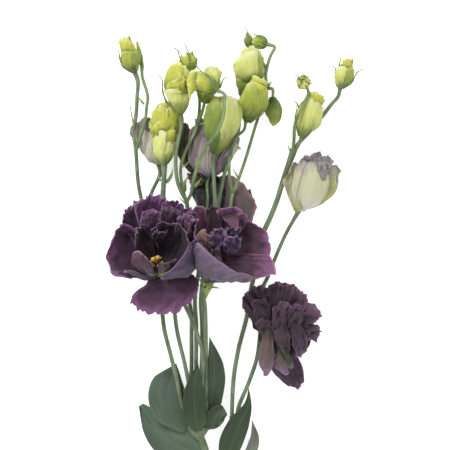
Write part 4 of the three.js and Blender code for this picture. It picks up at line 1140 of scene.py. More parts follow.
# ----------------------------------------
# Half-open flowers, still pale: cream petals with a green flush and lilac-grey frilled rims,
# wrapped loosely round a packed heart of frills.
# Young petal tissue, still short of colour: cream or soft yellow from a green foot, with brown and
# lilac-grey rims. It looks thin and papery, and a few petals have withered to olive brown.
pale_petal = petal_material(
    "cream_petal", "#b5bd88", "#dedbcb", "#c6bdbc", "#e2decf", "#d0cea6", vein=0.16, glow=0.35,
    rim_start=0.8, foot_end=0.35, edge="#8f8478", edge_share=0.7)
flushed_petal = petal_material(
    "flushed_cream_petal", "#eae8e9", "#dcdab6", "#b8afb2", "#e0deb8", "#d6d6a4", vein=0.16, glow=0.35,
    rim_start=0.66, foot_end=0.62, spread=0.7, edge="#8f8478")
green_petal = petal_material(
    "yellow_flushed_petal", "#8f9a58", "#c2c482", "#d8d8a8", "#c9cb8a", "#d4d38e", vein=0.3, glow=0.35,
    foot_end=0.35, edge="#8a8a5a", edge_share=0.5)
grey_frill = petal_material(
    "lilac_grey_frill", "#9f998c", "#b2aba2", "#9c9396", "#bdb6b0", "#a89fa2", glow=0.3, foot_end=0.35,
    edge="#6f6468")
lilac_petal = petal_material(
    "lilac_grey_petal", "#85808a", "#aaa0a4", "#a09296", "#b2aaaa", "#9f9398", vein=0.3, glow=0.3,
    foot_end=0.35)
blushed_petal = petal_material(
    "violet_footed_petal", "#8377b6", "#b0a399", "#a59799", "#b6aa9f", "#a99c98", glow=0.3, foot_end=0.35)
withered_petal = petal_material(
    "withered_petal", "#3f4428", "#4c4634", "#6b5f4f", "#504a36", "#5a4a3c", vein=0.5, spread=0.8,
    edge="#8c8468", edge_share=0.5)
mauve_petal = petal_material(
    "brown_mauve_petal", "#6e6468", "#8a7c7e", "#b3a2a4", "#8d8082", "#8a7a80", vein=0.35, glow=0.25,
    foot_end=0.35, edge="#c9bcb8", edge_share=0.5)

# Three habits of a petal: nearly flat, gently waved, and frilled. Depths are in millimetres.
calm = dict(ruffle=0.35, waves=1.8, frill=0.15, teeth=0.25, crumple=0.4)
waved = dict(ruffle=0.7, waves=2.4, frill=0.45, teeth=0.6, crumple=0.9)
frilled = dict(ruffle=1.2, waves=3, frill=0.9, teeth=1.2, crumple=1.2)


def ring(base, axis, count, turn, number, length, width, **form):
    """A whorl of like petals, each a little different in place and size."""
    rng = np.random.default_rng(number + 500)
    made = []
    for k in range(count):
        sway, longer, wider = rng.normal(size=3)
        made.append(petal(
            base, axis, turn + 360 * k / count + sway * 8, length * (1 + 0.07 * longer),
            width * (1 + 0.07 * wider), number=number * 20 + k, **form))
    return made


base, axis = growing("pale_flower_right")
right_petals = shaped(base, [
    # Back left petal.
    (pale_petal, dict(waved, waves=2), [
        [(-4, 0.5, 0), (-3.5, 1, 0), (-2.5, 1, 0)], [(-8, 11, -4), (-5, 12, -6), (0, 12, -8)],
        [(-12, 23, -3), (-7, 24, -8), (0, 25, -10)], [(-9, 33, -4), (-6, 37, -7), (0, 39, -9)],
        [(-5, 43, -5), (-3, 42, -6), (0, 41, -7)]]),
    # Back petals.
    (lilac_petal, dict(waved, waves=2.6), [
        [(-2, 1, -3), (-1, 1, -4), (0, 1, -4)], [(3, 11, -12), (10, 12, -15), (19, 12, -13)],
        [(1, 27, -11), (11, 29, -16), (25, 27, -13)], [(2, 39, -8), (13, 41, -13), (27, 38, -10)],
        [(4, 45, -5), (14, 49, -8), (28, 44, -6)]]),
    # Back right petal, with a pale flap.
    (pale_petal, dict(waved, crumple=0.6), [
        [(0, 0.5, -2), (1, 0.5, -3), (1.5, 1, -3)], [(14, 6, -4), (20, 8, -6), (25, 11, -6)],
        [(22, 16, -4), (29, 19, -8), (33, 21, -7)], [(26, 30, -3), (31, 32, -7), (34, 31, -6)],
        [(27, 39, -3), (31, 40, -5), (38, 36, -4)]]),
    # Left petal, its edge rolled forward.
    (flushed_petal, dict(waved, back=True, waves=2, crumple=0.6), [
        [(-3, 0, 3), (-2, 1, 4), (-1, 1, 4)], [(-5, 12, 7), (-2, 13, 12), (3, 13, 14)],
        [(-6, 23, 9), (-2, 25, 15), (4, 25, 18)], [(-4, 31, 10), (0, 34, 15), (7, 34, 18)],
        [(-1, 40, 8), (2, 43, 11), (9, 44, 13)]]),
    # The grey-lilac tufts of frills in the middle.
    (grey_frill, dict(frilled, teeth=0.9), [
        [(16, 14, 2), (19, 15, 2), (22, 15, 2)], [(17, 27, 8), (22, 28, 9), (27, 26, 6)],
        [(18, 38, 8), (24, 40, 10), (28, 38, 6)], [(19, 45, 6), (25, 48, 8), (29, 44, 4)]]),
    (lilac_petal, dict(frilled, ruffle=0.9, teeth=0.9), [
        [(8, 14, 0), (11, 15, 0), (14, 15, 0)], [(9, 29, 3), (13, 30, 5), (19, 29, 4)],
        [(9, 42, 5), (15, 43, 8), (20, 42, 6)], [(11, 50, 4), (16, 51, 7), (20, 51, 5)]]),
    (mauve_petal, waved, [
        [(4, 15, 2), (7, 15, 2), (9, 15, 2)], [(4, 30, 6), (7, 31, 9), (11, 30, 9)],
        [(4, 41, 6), (7, 42, 9), (11, 41, 9)], [(4, 47, 5), (7, 48, 8), (11, 46, 8)]]),
    # Right petal, folded yellow-green.
    (green_petal, dict(waved, back=True, waves=2.2), [
        [(0, 0, 2), (1, 0, 2), (1, 1, 1)], [(12, 4, 10), (17, 6, 8), (21, 8, 3)],
        [(19, 11, 13), (26, 14, 11), (31, 16, 2)], [(21, 22, 14), (28, 23, 12), (33, 22, 2)],
        [(22, 31, 11), (28, 32, 10), (32, 30, 3)]]),
    # The broad front petal.
    (flushed_petal, dict(calm, back=True, waves=2.2, frill=0.3), [
        [(-2, 0, 4), (-1, 0, 5), (0, 0, 5), (0, 0, 4)], [(-2, 5, 11), (5, 4, 16), (11, 5, 16), (17, 6, 10)],
        [(-2, 14, 15), (6, 16, 21), (14, 16, 21), (23, 14, 14)],
        [(1, 25, 17), (9, 28, 23), (16, 28, 23), (25, 24, 15)],
        [(5, 37, 15), (11, 39, 20), (17, 38, 21), (25, 33, 14)],
        [(7, 42, 12), (11, 43, 16), (16, 41, 18), (22, 37, 14)]]),
    # The calyx clasps its foot with a yellow-green tooth.
    (green_petal, dict(calm, back=True, ruffle=0.1, waves=1, drop=0.5), [
        [(-3, -1, 5), (-3, -1, 7), (-2, -1, 5)], [(-4, 3, 12), (-1, 3, 17), (3, 2, 14)],
        [(-4, 9, 12), (-2, 10, 19), (1, 7, 18)]]),
    # Frills that spill over its edge.
    (grey_frill, dict(frilled, teeth=0.9), [
        [(16, 27, 20), (19, 27, 21), (22, 26, 19)], [(16, 34, 23), (20, 35, 25), (25, 33, 21)],
        [(15, 39, 24), (20, 41, 26), (26, 38, 21)], [(14, 44, 20), (20, 46, 23), (27, 43, 18)]]),
], 200)
piece("pale_flower_right_corolla", right_petals, ["pale_flower_right_petals"])

base, axis = growing("pale_flower_left")
left_back = ring(base, axis, count=5, turn=55, number=23, length=37, width=34, start=52, opening=-8,
                 ruffle=1.0, press=0.7)
piece("pale_flower_left_corolla", [(lilac_petal, left_back), *shaped(base, [
    # The front petal, its top rolled outward.
    (pale_petal, dict(waved, back=True, waves=2), [
        [(-1, 0, 3), (0, 0, 4), (1, 0, 4)], [(-10, 5, 8), (-5, 6, 12), (1, 7, 14)],
        [(-15, 17, 8), (-7, 18, 14), (1, 18, 15)], [(-17, 30, 8), (-8, 30, 15), (1, 30, 15)]]),
    (mauve_petal, dict(waved, back=True), [
        [(-15, 27, 9), (-8, 28, 15), (0, 28, 15)], [(-17, 33, 10), (-10, 35, 15), (-1, 35, 14)],
        [(-16, 39, 7), (-10, 39, 10), (-2, 40, 9)]]),
], 240)], ["pale_flower_left_petals"])

base, axis = growing("pale_flower_centre")
centre_back = ring(base, axis, count=5, turn=40, number=25, length=42, width=40, start=60, opening=-4,
                   ruffle=1.2, press=0.6)
piece("pale_flower_centre_corolla", [(mauve_petal, centre_back), *shaped(base, [
    # Two withered outer petals, folded down behind the stems.
    (withered_petal, dict(frilled, back=True), [
        [(-2, 1, 0), (-1, 1, 1), (-1, 0, 2)], [(-17, 5, 1), (-13, 7, 3), (-7, 9, 4)],
        [(-27, 19, 0), (-20, 20, 3), (-15, 21, 4)], [(-27, 35, -1), (-22, 36, 2), (-15, 35, 3)],
        [(-24, 45, -2), (-20, 47, 0), (-15, 45, 1)]]),
    (withered_petal, dict(frilled, back=True, pleat=0.6), [
        [(-2, 1, 1), (-1, 0, 2), (0, -1, 2)], [(-12, 3, 2), (-8, -2, 4), (-5, -5, 3)],
        [(-19, 4, 1), (-16, -4, 3), (-12, -11, 2)]]),
    # Left.
    (mauve_petal, dict(frilled, back=True, ruffle=0.9), [
        [(-1, 1, 3), (0, 0, 5), (1, 0, 5)], [(-10, 5, 7), (-5, 5, 11), (0, 5, 13)],
        [(-16, 14, 7), (-8, 14, 13), (2, 14, 15)], [(-16, 26, 7), (-7, 28, 13), (3, 27, 15)],
        [(-15, 39, 4), (-6, 41, 9), (3, 38, 11)], [(-13, 47, 2), (-7, 51, 6), (0, 47, 8)]]),
    # Middle, paler.
    (blushed_petal, dict(waved, back=True, pleat=0.5), [
        [(-1, 0, 4), (0, 0, 6), (1, 0, 5)], [(-7, 4, 11), (-1, 4, 15), (5, 4, 14)],
        [(-11, 13, 13), (-3, 14, 18), (7, 13, 16)], [(-10, 24, 13), (-2, 25, 18), (7, 24, 16)],
        [(-8, 32, 10), (-1, 34, 14), (7, 33, 12)]]),
    # Right, its rim curled outward and frilled.
    (mauve_petal, dict(waved, back=True, waves=3, frill=0.7, pleat=0.8), [
        [(0, 0, 4), (1, 0, 4), (2, 0, 3)], [(2, 4, 12), (8, 4, 12), (13, 6, 5)],
        [(4, 15, 14), (12, 16, 14), (19, 19, 6)], [(7, 25, 13), (17, 26, 13), (25, 30, 6)],
        [(9, 32, 9), (19, 33, 9), (28, 35, 4)]]),
    (pale_petal, dict(waved, back=True, waves=3, frill=0.7), [
        [(12, 15, 11), (16, 16, 11), (19, 16, 9)], [(17, 24, 13), (20, 24, 12), (24, 22, 9)],
        [(22, 32, 10), (25, 29, 10), (28, 25, 7)]]),
], 260)], ["pale_flower_centre_petals"])


# ----------------------------------------
# Open blooms: double flowers of plum purple petals in three whorls, ruffled at the rim, dark and
# velvety inside, dull lilac-grey outside.
# Ripe petal tissue, in which the plum colour varies from petal to petal: tan where it fades and greyer
# outside, with pale lilac rims. The near-black copies for the depths of a flower are painted shade, and the
# magenta and rose ones where light falls on it are partly painted light.
plum = petal_material(
    "plum_petal", "#251a22", "#452d40", "#9c6c9b", "#53425a", "#553754", vein=0.2, glow=0.18, rim_start=0.6,
    edge="#c9aac6", edge_share=0.65)
# Plum darkened nearly to black for the depths of a flower: painted shade.
painted_shade_plum = petal_material(
    "painted_shade_plum_petal", "#1c1419", "#2c2028", "#5a405c", "#4a3a4c", "#382635", vein=0.3, glow=0.12,
    rim_start=0.82, foot_end=0.6, spread=0.45, edge="#ab90a8", edge_share=0.75)
violet_plum = petal_material(
    "violet_plum_petal", "#2a2029", "#3f2b3d", "#66496c", "#463750", "#4a3750", vein=0.2, rim_start=0.75,
    foot_end=0.4, spread=0.5, edge="#b49ab4", edge_share=0.5)
# Mauve painted light over most of its length as a highlight on its belly, and dark toward its rim as painted
# shade.
mauve_fold_painted_light_and_shade = petal_material(
    "mauve_petal_fold_painted_light_and_shade", "#8d7984", "#4d343f", "#5c404e", "#4a2f3b", "#54363f", rim_start=0.85,
    foot_end=0.85, spread=0.35, edge="#c0a8bc", edge_share=0.8)
# Magenta and rose: lighter copies of the plum for petals where light falls, partly painted light.
magenta = petal_material(
    "magenta_plum_petal", "#3c2d35", "#523a48", "#9a6690", "#68586c", "#604252", glow=0.2, rim_start=0.66,
    foot_end=0.6, edge="#cba6c0", edge_share=0.5)
rose = petal_material(
    "rose_petal", "#412d3b", "#70465f", "#a67694", "#7f5670", "#7a4c6a", vein=0.3, glow=0.25, rim_start=0.7,
    edge="#d2b0c4")
dusky_back = petal_material(
    "dusky_violet_back", "#453748", "#524150", "#7f6a84", "#625066", "#5a4864", rim_start=0.6,
    foot_end=0.75, spread=0.9, edge="#b09fb4")
blue_petal = petal_material(
    "blue_violet_petal", "#4c3a4e", "#6c4f6c", "#9f84a6", "#6e5472", "#705684", vein=0.3, glow=0.3,
    foot_end=0.4, spread=0.7, edge="#cdbfd8", edge_share=0.7)
tan_petal = petal_material(
    "faded_tan_petal", "#4c383a", "#79595c", "#a4837e", "#7c6062", "#86646a", vein=0.35, glow=0.2,
    rim_start=0.8, edge="#cdb4ac")
# Brown plum for inner walls and folds: partly its own colour, and partly darkened as painted shade.
brown_plum_painted_shade = petal_material(
    "brown_plum_painted_shade_petal", "#2c2326", "#4a393f", "#694a60", "#554650", "#54424a", vein=0.3, glow=0.18,
    rim_start=0.85, foot_end=0.4, spread=0.5, edge="#8f7484", edge_share=0.5)
# Near black, for petals in the shade of stems and other petals: painted shade.
painted_shade_black = petal_material(
    "painted_shade_black_petal", "#191716", "#221f1e", "#3a3237", "#292726", "#282425", vein=0.2, glow=0.1,
    rim_start=0.85, foot_end=0.4, spread=0.4, edge="#5c4c54", edge_share=0.4)
dusk = petal_material(
    "dusk_petal", "#271f25", "#3d2f39", "#684c64", "#4c3f49", "#4a3844", vein=0.3, edge="#93748c")
dusk_violet = petal_material(
    "dusk_violet_petal", "#2a2029", "#402f3f", "#785374", "#4e4050", "#4b3548", glow=0.18, rim_start=0.7,
    edge="#ac8aa8")
dusk_mauve = petal_material(
    "dusk_mauve_petal", "#463a38", "#5e4a52", "#8f688c", "#6e5e56", "#6a5260", vein=0.2, glow=0.2,
    rim_start=0.6, spread=0.45, edge="#bf9cba", edge_share=0.5)
rear = petal_material(
    "rear_petal", "#4a4146", "#655058", "#b48c8c", "#6f5d64", "#6c5862", vein=0.45, glow=0.22,
    rim_start=0.64, foot_end=0.4, edge="#d0b0aa", edge_share=0.7)
broad_plum = petal_material(
    "broad_plum_petal", "#453241", "#644560", "#9b6692", "#684c6c", "#654260", glow=0.22, rim_start=0.5,
    foot_end=0.4, edge="#c09cbc", edge_share=0.4)
old_strip = green_skin("old_sepal_skin", "#24251d", "#323428", "#474937")

base, axis = growing("bloom_left")
piece("bloom_left_corolla", shaped(base, [
    # The wide left petal, its near lip turned up.
    (plum, dict(waved, waves=2.6, teeth=1.0, lobes=1.7, columns=70), [
        [(-2, 2.5, 5), (-2.5, 3, 4.5), (-3, 4, 4), (-2.5, 4.5, 4), (-2.5, 4.5, 4)],
        [(-10, 0, 24), (-18, 7, 14), (-20, 15, 9), (-18, 22, 6), (-13, 27, 5)],
        [(-18, -2, 40), (-29, 3, 30), (-33, 16, 20), (-31, 30, 11), (-22, 39, 7)],
        [(-25, -1, 50), (-38, 2, 43), (-43, 15, 32), (-40, 32, 19), (-31, 44, 13)],
        [(-28, 1, 54), (-42, 3, 50), (-47, 14, 40), (-43, 29, 26), (-35, 42, 17)]]),
    # The dull back of its near lip.
    (dusky_back, dict(calm, back=True, waves=1.5), [
        [(-4, 0, 10), (-3, 0, 12), (-3, 1, 13)], [(-9, -3, 24), (-10, -1, 29), (-10, 0, 31)],
        [(-15, -4, 34), (-15, -1, 40), (-16, 1, 43)], [(-23, -1, 42), (-24, 1, 48), (-23, 4, 50)],
        [(-32, 2, 44), (-32, 3, 50), (-31, 4, 52)]]),
    # Upper left, behind it.
    (plum, dict(frilled, waves=3.6, lobes=1.7, columns=70, crumple=0.7), [
        [(-2.5, 4, 3), (-2, 4.5, 3), (-1.5, 4.5, 3)], [(-15, 19, 3), (-12, 23, 1), (-7, 24, 2)],
        [(-27, 33, 7), (-22, 42, 4), (-13, 45, 6)], [(-33, 40, 12), (-28, 52, 8), (-17, 57, 10)],
        [(-36, 44, 17), (-29, 58, 13), (-17, 66, 13)]]),
    # Top.
    (plum, dict(frilled, waves=3.6, lobes=1.6, columns=70, crumple=0.7), [
        [(-2, 4.5, 4), (-1.5, 5, 4), (-0.5, 5, 4)], [(-10, 20, 4), (-4, 24, 3), (2, 20, 5)],
        [(-19, 42, 9), (-9, 47, 6), (2, 43, 9)], [(-23, 56, 15), (-10, 61, 12), (3, 58, 14)],
        [(-22, 62, 20), (-9, 68, 17), (6, 66, 20)]]),
    # Upper right, frilled.
    (plum, dict(waved, ruffle=1.5, waves=3.8, frill=1.2, teeth=1.2, lobes=1.6, columns=70), [
        [(-1, 4.5, 4), (-0.5, 5, 4), (0, 4.5, 4)], [(-1, 19, 4), (5, 20, 3), (11, 16, 6)],
        [(-1, 42, 9), (9, 43, 5), (20, 34, 11)], [(0, 56, 15), (11, 58, 11), (24, 49, 18)],
        [(2, 63, 22), (12, 64, 17), (25, 56, 24)]]),
    # Right side wall.
    (plum, dict(frilled, teeth=1.5, lobes=2, columns=70, crumple=0.7), [
        [(-0.5, 4.5, 4), (0, 4, 4.5), (0, 3.5, 5)], [(7, 18, 6), (11, 13, 8), (12, 8, 14)],
        [(16, 34, 14), (23, 27, 17), (23, 15, 30)], [(21, 48, 22), (28, 37, 26), (27, 22, 42)],
        [(22, 58, 28), (29, 43, 32), (25, 29, 46)]]),
    # The bowl right of the heart: painted shade makes it nearly black inside, with a thin pale lip.
    (painted_shade_plum, dict(frilled, ruffle=0.9, lobes=2, columns=70, crumple=0.7), [
        [(-1, 5, 8), (-0.5, 5, 8), (0, 4.5, 8), (0, 4, 8)],
        [(-3, 17, 9), (4, 20, 7), (11, 17, 10), (11, 10, 22)],
        [(-5, 28, 16), (4, 33, 12), (16, 29, 18), (18, 15, 34)],
        [(-7, 35, 26), (4, 41, 22), (18, 37, 28), (22, 21, 46)],
        [(-8, 39, 32), (4, 45, 29), (18, 41, 36), (24, 27, 52)]]),
    # The wall left of the heart, painted dark as shade.
    (painted_shade_plum, dict(frilled, lobes=2, pleat=0.5, crumple=0.7), [
        [(-2, 4, 6), (-2, 5, 6), (-1, 5, 6)], [(-11, 13, 12), (-9, 18, 9), (-6, 20, 9)],
        [(-21, 22, 24), (-17, 33, 16), (-9, 36, 14)], [(-23, 27, 34), (-20, 42, 26), (-7, 44, 22)]]),
    # Crumpled crest over the heart.
    (plum, dict(frilled, waves=2.8, teeth=0.8), [
        [(-8, 29, 14), (-4, 30, 14), (-1, 30, 14)], [(-15, 39, 20), (-9, 42, 21), (-2, 41, 20)],
        [(-18, 47, 23), (-10, 51, 26), (-1, 49, 24)], [(-16, 54, 24), (-8, 56, 28), (0, 54, 25)]]),
    (dusk, dict(frilled, teeth=0.8), [
        [(1, 33, 14), (5, 34, 14), (9, 33, 14)], [(-1, 43, 22), (6, 44, 24), (12, 43, 22)],
        [(0, 51, 27), (6, 53, 30), (15, 50, 27)], [(2, 57, 28), (7, 58, 32), (17, 56, 28)]]),
    (plum, dict(frilled, teeth=0.8), [
        [(11, 30, 20), (14, 29, 20), (18, 26, 20)], [(11, 39, 28), (16, 39, 30), (22, 36, 30)],
        [(13, 46, 32), (18, 47, 35), (26, 43, 34)], [(15, 51, 32), (21, 52, 36), (29, 49, 36)]]),
    # This fold of the crest is painted dark as shade.
    (painted_shade_plum, dict(frilled, teeth=0.8), [
        [(-8, 27, 16), (-3, 29, 16), (1, 29, 16)], [(-8, 33, 24), (-2, 34, 26), (4, 34, 24)],
        [(-8, 37, 30), (-1, 37, 32), (6, 39, 32)]]),
    # Near right petal: it stands and leans in, so its dull back shows.
    (violet_plum, dict(calm, back=True, waves=2), [
        [(-1, 2, 5), (0, 2, 5), (0, 3, 5), (0, 4, 5)],
        [(4, -3, 14), (13, -1, 12), (19, 6, 12), (21, 16, 14)],
        [(4, -3, 34), (21, -1, 32), (30, 9, 30), (30, 24, 30)],
        [(1, -3, 50), (15, 4, 50), (25, 15, 50), (28, 29, 44)],
        [(-3, 0, 56), (7, 5, 58), (17, 15, 57), (24, 30, 50)]]),
    # The near inner petal folds over, smooth, with a thin pale edge: its light mauve belly is a painted
    # highlight, and the dark band toward its rim is painted shade.
    (mauve_fold_painted_light_and_shade, dict(calm, back=True), [
        [(-3, 1, 8), (-2.5, 1.5, 8), (-2, 2, 8)], [(-13, 0, 27), (-9, 0, 30), (-5, 1, 27)],
        [(-22, 5, 40), (-15, 5, 44), (-7, 4, 38)], [(-25, 12, 45), (-17, 11, 49), (-7, 8, 43)],
        [(-23, 24, 46), (-15, 18, 50), (-8, 10, 44)]]),
    # The lower lip of the bowl, paler than its wall, with the same painted highlight and shade.
    (mauve_fold_painted_light_and_shade, dict(calm, waves=1.6), [
        [(-3, 2, 10), (-2, 2, 10), (-1, 2, 10)], [(-3, 5, 26), (2, 5, 28), (7, 6, 30)],
        [(-3, 8, 36), (3, 8, 40), (11, 11, 44)], [(-3, 11, 38), (4, 11, 44), (14, 15, 50)]]),
], 300), ["bloom_left_outer_petals", "bloom_left_inner_petals"])

base, axis = growing("bloom_right")
piece("bloom_right_corolla", shaped(base, [
    # The near petal: it stands up, so its smooth dull back shows.
    (dusky_back, dict(calm, back=True, waves=2.4, crumple=1.0, pleat=0.5), [
        [(0.5, 3.5, 4), (1.5, 3, 4), (2.5, 3, 4), (3.5, 3, 4), (4, 3.5, 4)],
        [(-6, 14, 20), (-3, 8, 20), (4, 6, 18), (13, 4, 15), (22, 4, 12)],
        [(-10, 24, 36), (-5, 16, 40), (4, 8, 39), (18, 4, 34), (32, 4, 25)],
        [(-10, 33, 46), (-3, 24, 54), (7, 16, 54), (22, 9, 48), (40, 6, 36)],
        [(-5, 40, 50), (3, 29, 58), (13, 19, 59), (26, 12, 54), (41, 10, 44)]]),
    # Lower right: it spreads outward, and its rim turns up.
    (magenta, dict(waved, waves=2, pleat=0.5), [
        [(3, 3.5, 5), (3.5, 4, 5), (4, 4.5, 5), (4, 5, 5)],
        [(13, 6, 14), (13, 13, 8), (13, 19, 6), (13, 25, 6)],
        [(26, 6, 26), (26, 13, 17), (27, 21, 12), (27, 28, 10)],
        [(39, 6, 38), (43, 12, 29), (44, 20, 22), (44, 27, 20)],
        [(45, 7, 44), (58, 11, 40), (59, 19, 34), (55, 28, 30)]]),
    # Right.
    (magenta, waved, [
        [(4, 5, 4), (4.5, 5, 4), (4.5, 5.5, 4), (4.5, 6, 4)],
        [(16, 15, 6), (16, 23, 4), (15, 27, 3), (13, 31, 3)],
        [(31, 19, 12), (31, 31, 9), (29, 39, 6), (23, 45, 5)],
        [(46, 21, 22), (46, 37, 18), (40, 47, 13), (31, 53, 11)],
        [(55, 25, 29), (55, 37, 27), (48, 48, 22), (35, 57, 19)]]),
    # Far petals, with a broad magenta rim.
    (magenta, dict(waved, waves=2), [
        [(4.5, 6, 4), (4.5, 6.5, 4), (4.5, 6.5, 4)], [(15, 30, 5), (12, 32, 6), (10, 32, 7)],
        [(29, 45, 9), (20, 48, 8), (12, 49, 10)], [(35, 55, 14), (24, 60, 13), (10, 60, 16)],
        [(36, 59, 19), (25, 66, 18), (8, 67, 20)]]),
    # The far rim folds forward into a pointed flap.
    (rose, dict(calm, waves=1.6), [
        [(14, 59, 22), (22, 60, 22), (29, 59, 22)], [(15, 57, 28), (21, 56, 30), (28, 56, 29)],
        [(19, 53, 32), (24, 52, 34), (28, 53, 32)], [(25, 48, 34), (26, 47, 34), (27, 48, 33)]]),
    # A second small flap beside it.
    (rose, dict(calm, waves=1.6), [
        [(26, 53, 20), (29, 54, 20), (31, 54, 20)], [(26, 58, 26), (30, 58, 26), (33, 57, 25)],
        [(27, 62, 28), (32, 62, 28), (36, 60, 26)]]),
    # Upper left.
    (rose, calm, [
        [(4, 5.5, 4.5), (4, 6, 4.5), (4, 6, 4.5)], [(4, 29, 5), (7, 30, 4), (10, 30, 5)],
        [(-5, 47, 11), (1, 49, 8), (6, 48, 9)], [(-10, 59, 19), (-4, 60, 16), (1, 59, 17)],
        [(-12, 67, 24), (-5, 68, 24), (1, 67, 23)]]),
    # Beside it, a petal darkened by painted shade.
    (brown_plum_painted_shade, waved, [
        [(4, 6, 4), (4, 6, 4), (4, 6.5, 4)], [(7, 30, 7), (10, 30, 7), (14, 30, 7)],
        [(2, 48, 12), (7, 50, 11), (14, 48, 11)], [(-1, 60, 17), (6, 62, 16), (15, 60, 17)],
        [(0, 67, 20), (6, 68, 19), (15, 67, 20)]]),
    # Left side wall, darkened by painted shade.
    (brown_plum_painted_shade, dict(frilled, teeth=0.6), [
        [(3.5, 5, 5), (3.5, 5.5, 5), (3.5, 5.5, 5)], [(-2, 20, 14), (0, 24, 9), (5, 27, 6)],
        [(-10, 34, 28), (-8, 40, 19), (-2, 44, 13)], [(-15, 43, 36), (-13, 51, 27), (-8, 56, 20)],
        [(-16, 47, 40), (-15, 58, 32), (-11, 66, 26)]]),
    # A crumpled tan-pink lip over the left wall.
    (tan_petal, dict(frilled, crumple=1.7), [
        [(3, 23, 28), (4, 24, 28), (6, 24, 28)], [(-3, 31, 40), (1, 31, 38), (6, 32, 36)],
        [(-7, 38, 47), (-1, 39, 46), (4, 37, 42)], [(-7, 45, 46), (-1, 49, 47), (3, 44, 44)]]),
    # A frilled brown edge that looks over the near petal, partly in painted shade.
    (brown_plum_painted_shade, dict(waved, ruffle=1.6, waves=4, frill=1.3, teeth=1.5), [
        [(-8, 29, 38), (1, 19, 40), (11, 12, 38)], [(-7, 32, 47), (4, 23, 49), (14, 17, 46)],
        [(-4, 36, 51), (6, 27, 52), (17, 21, 47)]]),
    # Narrow frilled ridges in front of it, also partly in painted shade.
    (brown_plum_painted_shade, dict(frilled, teeth=0.6), [
        [(6, 16, 24), (10, 17, 24), (13, 18, 22)], [(4, 23, 38), (8, 25, 38), (13, 26, 34)],
        [(3, 29, 46), (7, 32, 45), (13, 31, 40)]]),
    # Crumpled inner petals, bluer than the rest.
    (blue_petal, dict(frilled, waves=3.4), [
        [(7, 25, 18), (11, 26, 18), (14, 27, 18)], [(4, 33, 22), (10, 35, 21), (16, 34, 21)],
        [(3, 40, 26), (10, 43, 24), (18, 40, 24)], [(4, 46, 28), (11, 50, 27), (18, 47, 27)]]),
    (blue_petal, dict(frilled, waves=3.4), [
        [(16, 25, 17), (20, 26, 16), (25, 26, 17)], [(16, 30, 22), (23, 32, 20), (29, 32, 21)],
        [(16, 36, 26), (23, 38, 24), (30, 37, 25)], [(16, 40, 28), (23, 43, 27), (31, 42, 28)]]),
    (blue_petal, dict(frilled, ruffle=0.9), [
        [(16, 39, 16), (20, 40, 16), (25, 40, 16)], [(17, 45, 19), (23, 46, 19), (29, 45, 20)],
        [(18, 50, 22), (24, 52, 22), (30, 51, 23)]]),
    (violet_plum, dict(frilled, waves=2.6, teeth=0.6), [
        [(11, 20, 18), (14, 21, 17), (17, 21, 17)], [(9, 27, 27), (13, 29, 25), (18, 29, 25)],
        [(9, 33, 34), (13, 36, 31), (19, 35, 31)]]),
], 330), ["bloom_right_outer_petals", "bloom_right_inner_petals"])

base, axis = growing("bloom_rear")
# The rear bloom's back petals, painted near black as shade.
rear_back = [
    petal(base, axis, turn, length=52, width=44, start=45, opening=-8, ruffle=1.2, press=0.6, number=370 + k)
    for k, turn in enumerate((100, 140, 180, 220, 260))
]
piece("bloom_rear_corolla", [(painted_shade_black, rear_back), *shaped(base, [
    # Right: the broad back, its far rim ruffled and tanned.
    (rear, dict(waved, back=True, waves=4, frill=0.7, drop=0.04), [
        [(-1, 4, 2), (-1, 5, 2), (0, 5, 2), (1, 4, 2)],
        [(-7, 26, 15), (2, 26, 19), (12, 25, 16), (19, 22, 7)],
        [(-7, 41, 17), (2, 43, 22), (14, 41, 19), (23, 33, 8)],
        [(-7, 55, 15), (2, 57, 20), (13, 51, 17), (24, 39, 8)],
        [(-7, 65, 12), (1, 66, 15), (12, 59, 14), (23, 45, 9)]]),
    # Left: painted nearly black, as the shade of the stems.
    (painted_shade_black, dict(waved, back=True, waves=2.6), [
        [(-2, 4, 2), (-1, 4, 2), (0, 4, 2)], [(-17, 24, 11), (-10, 26, 15), (-1, 26, 16)],
        [(-28, 40, 9), (-17, 43, 16), (-1, 45, 18)], [(-32, 53, 7), (-18, 57, 13), (-2, 57, 15)],
        [(-30, 62, 5), (-17, 65, 9), (-3, 65, 10)]]),
], 360)], ["bloom_rear_outer_petals", "bloom_rear_inner_petals"])

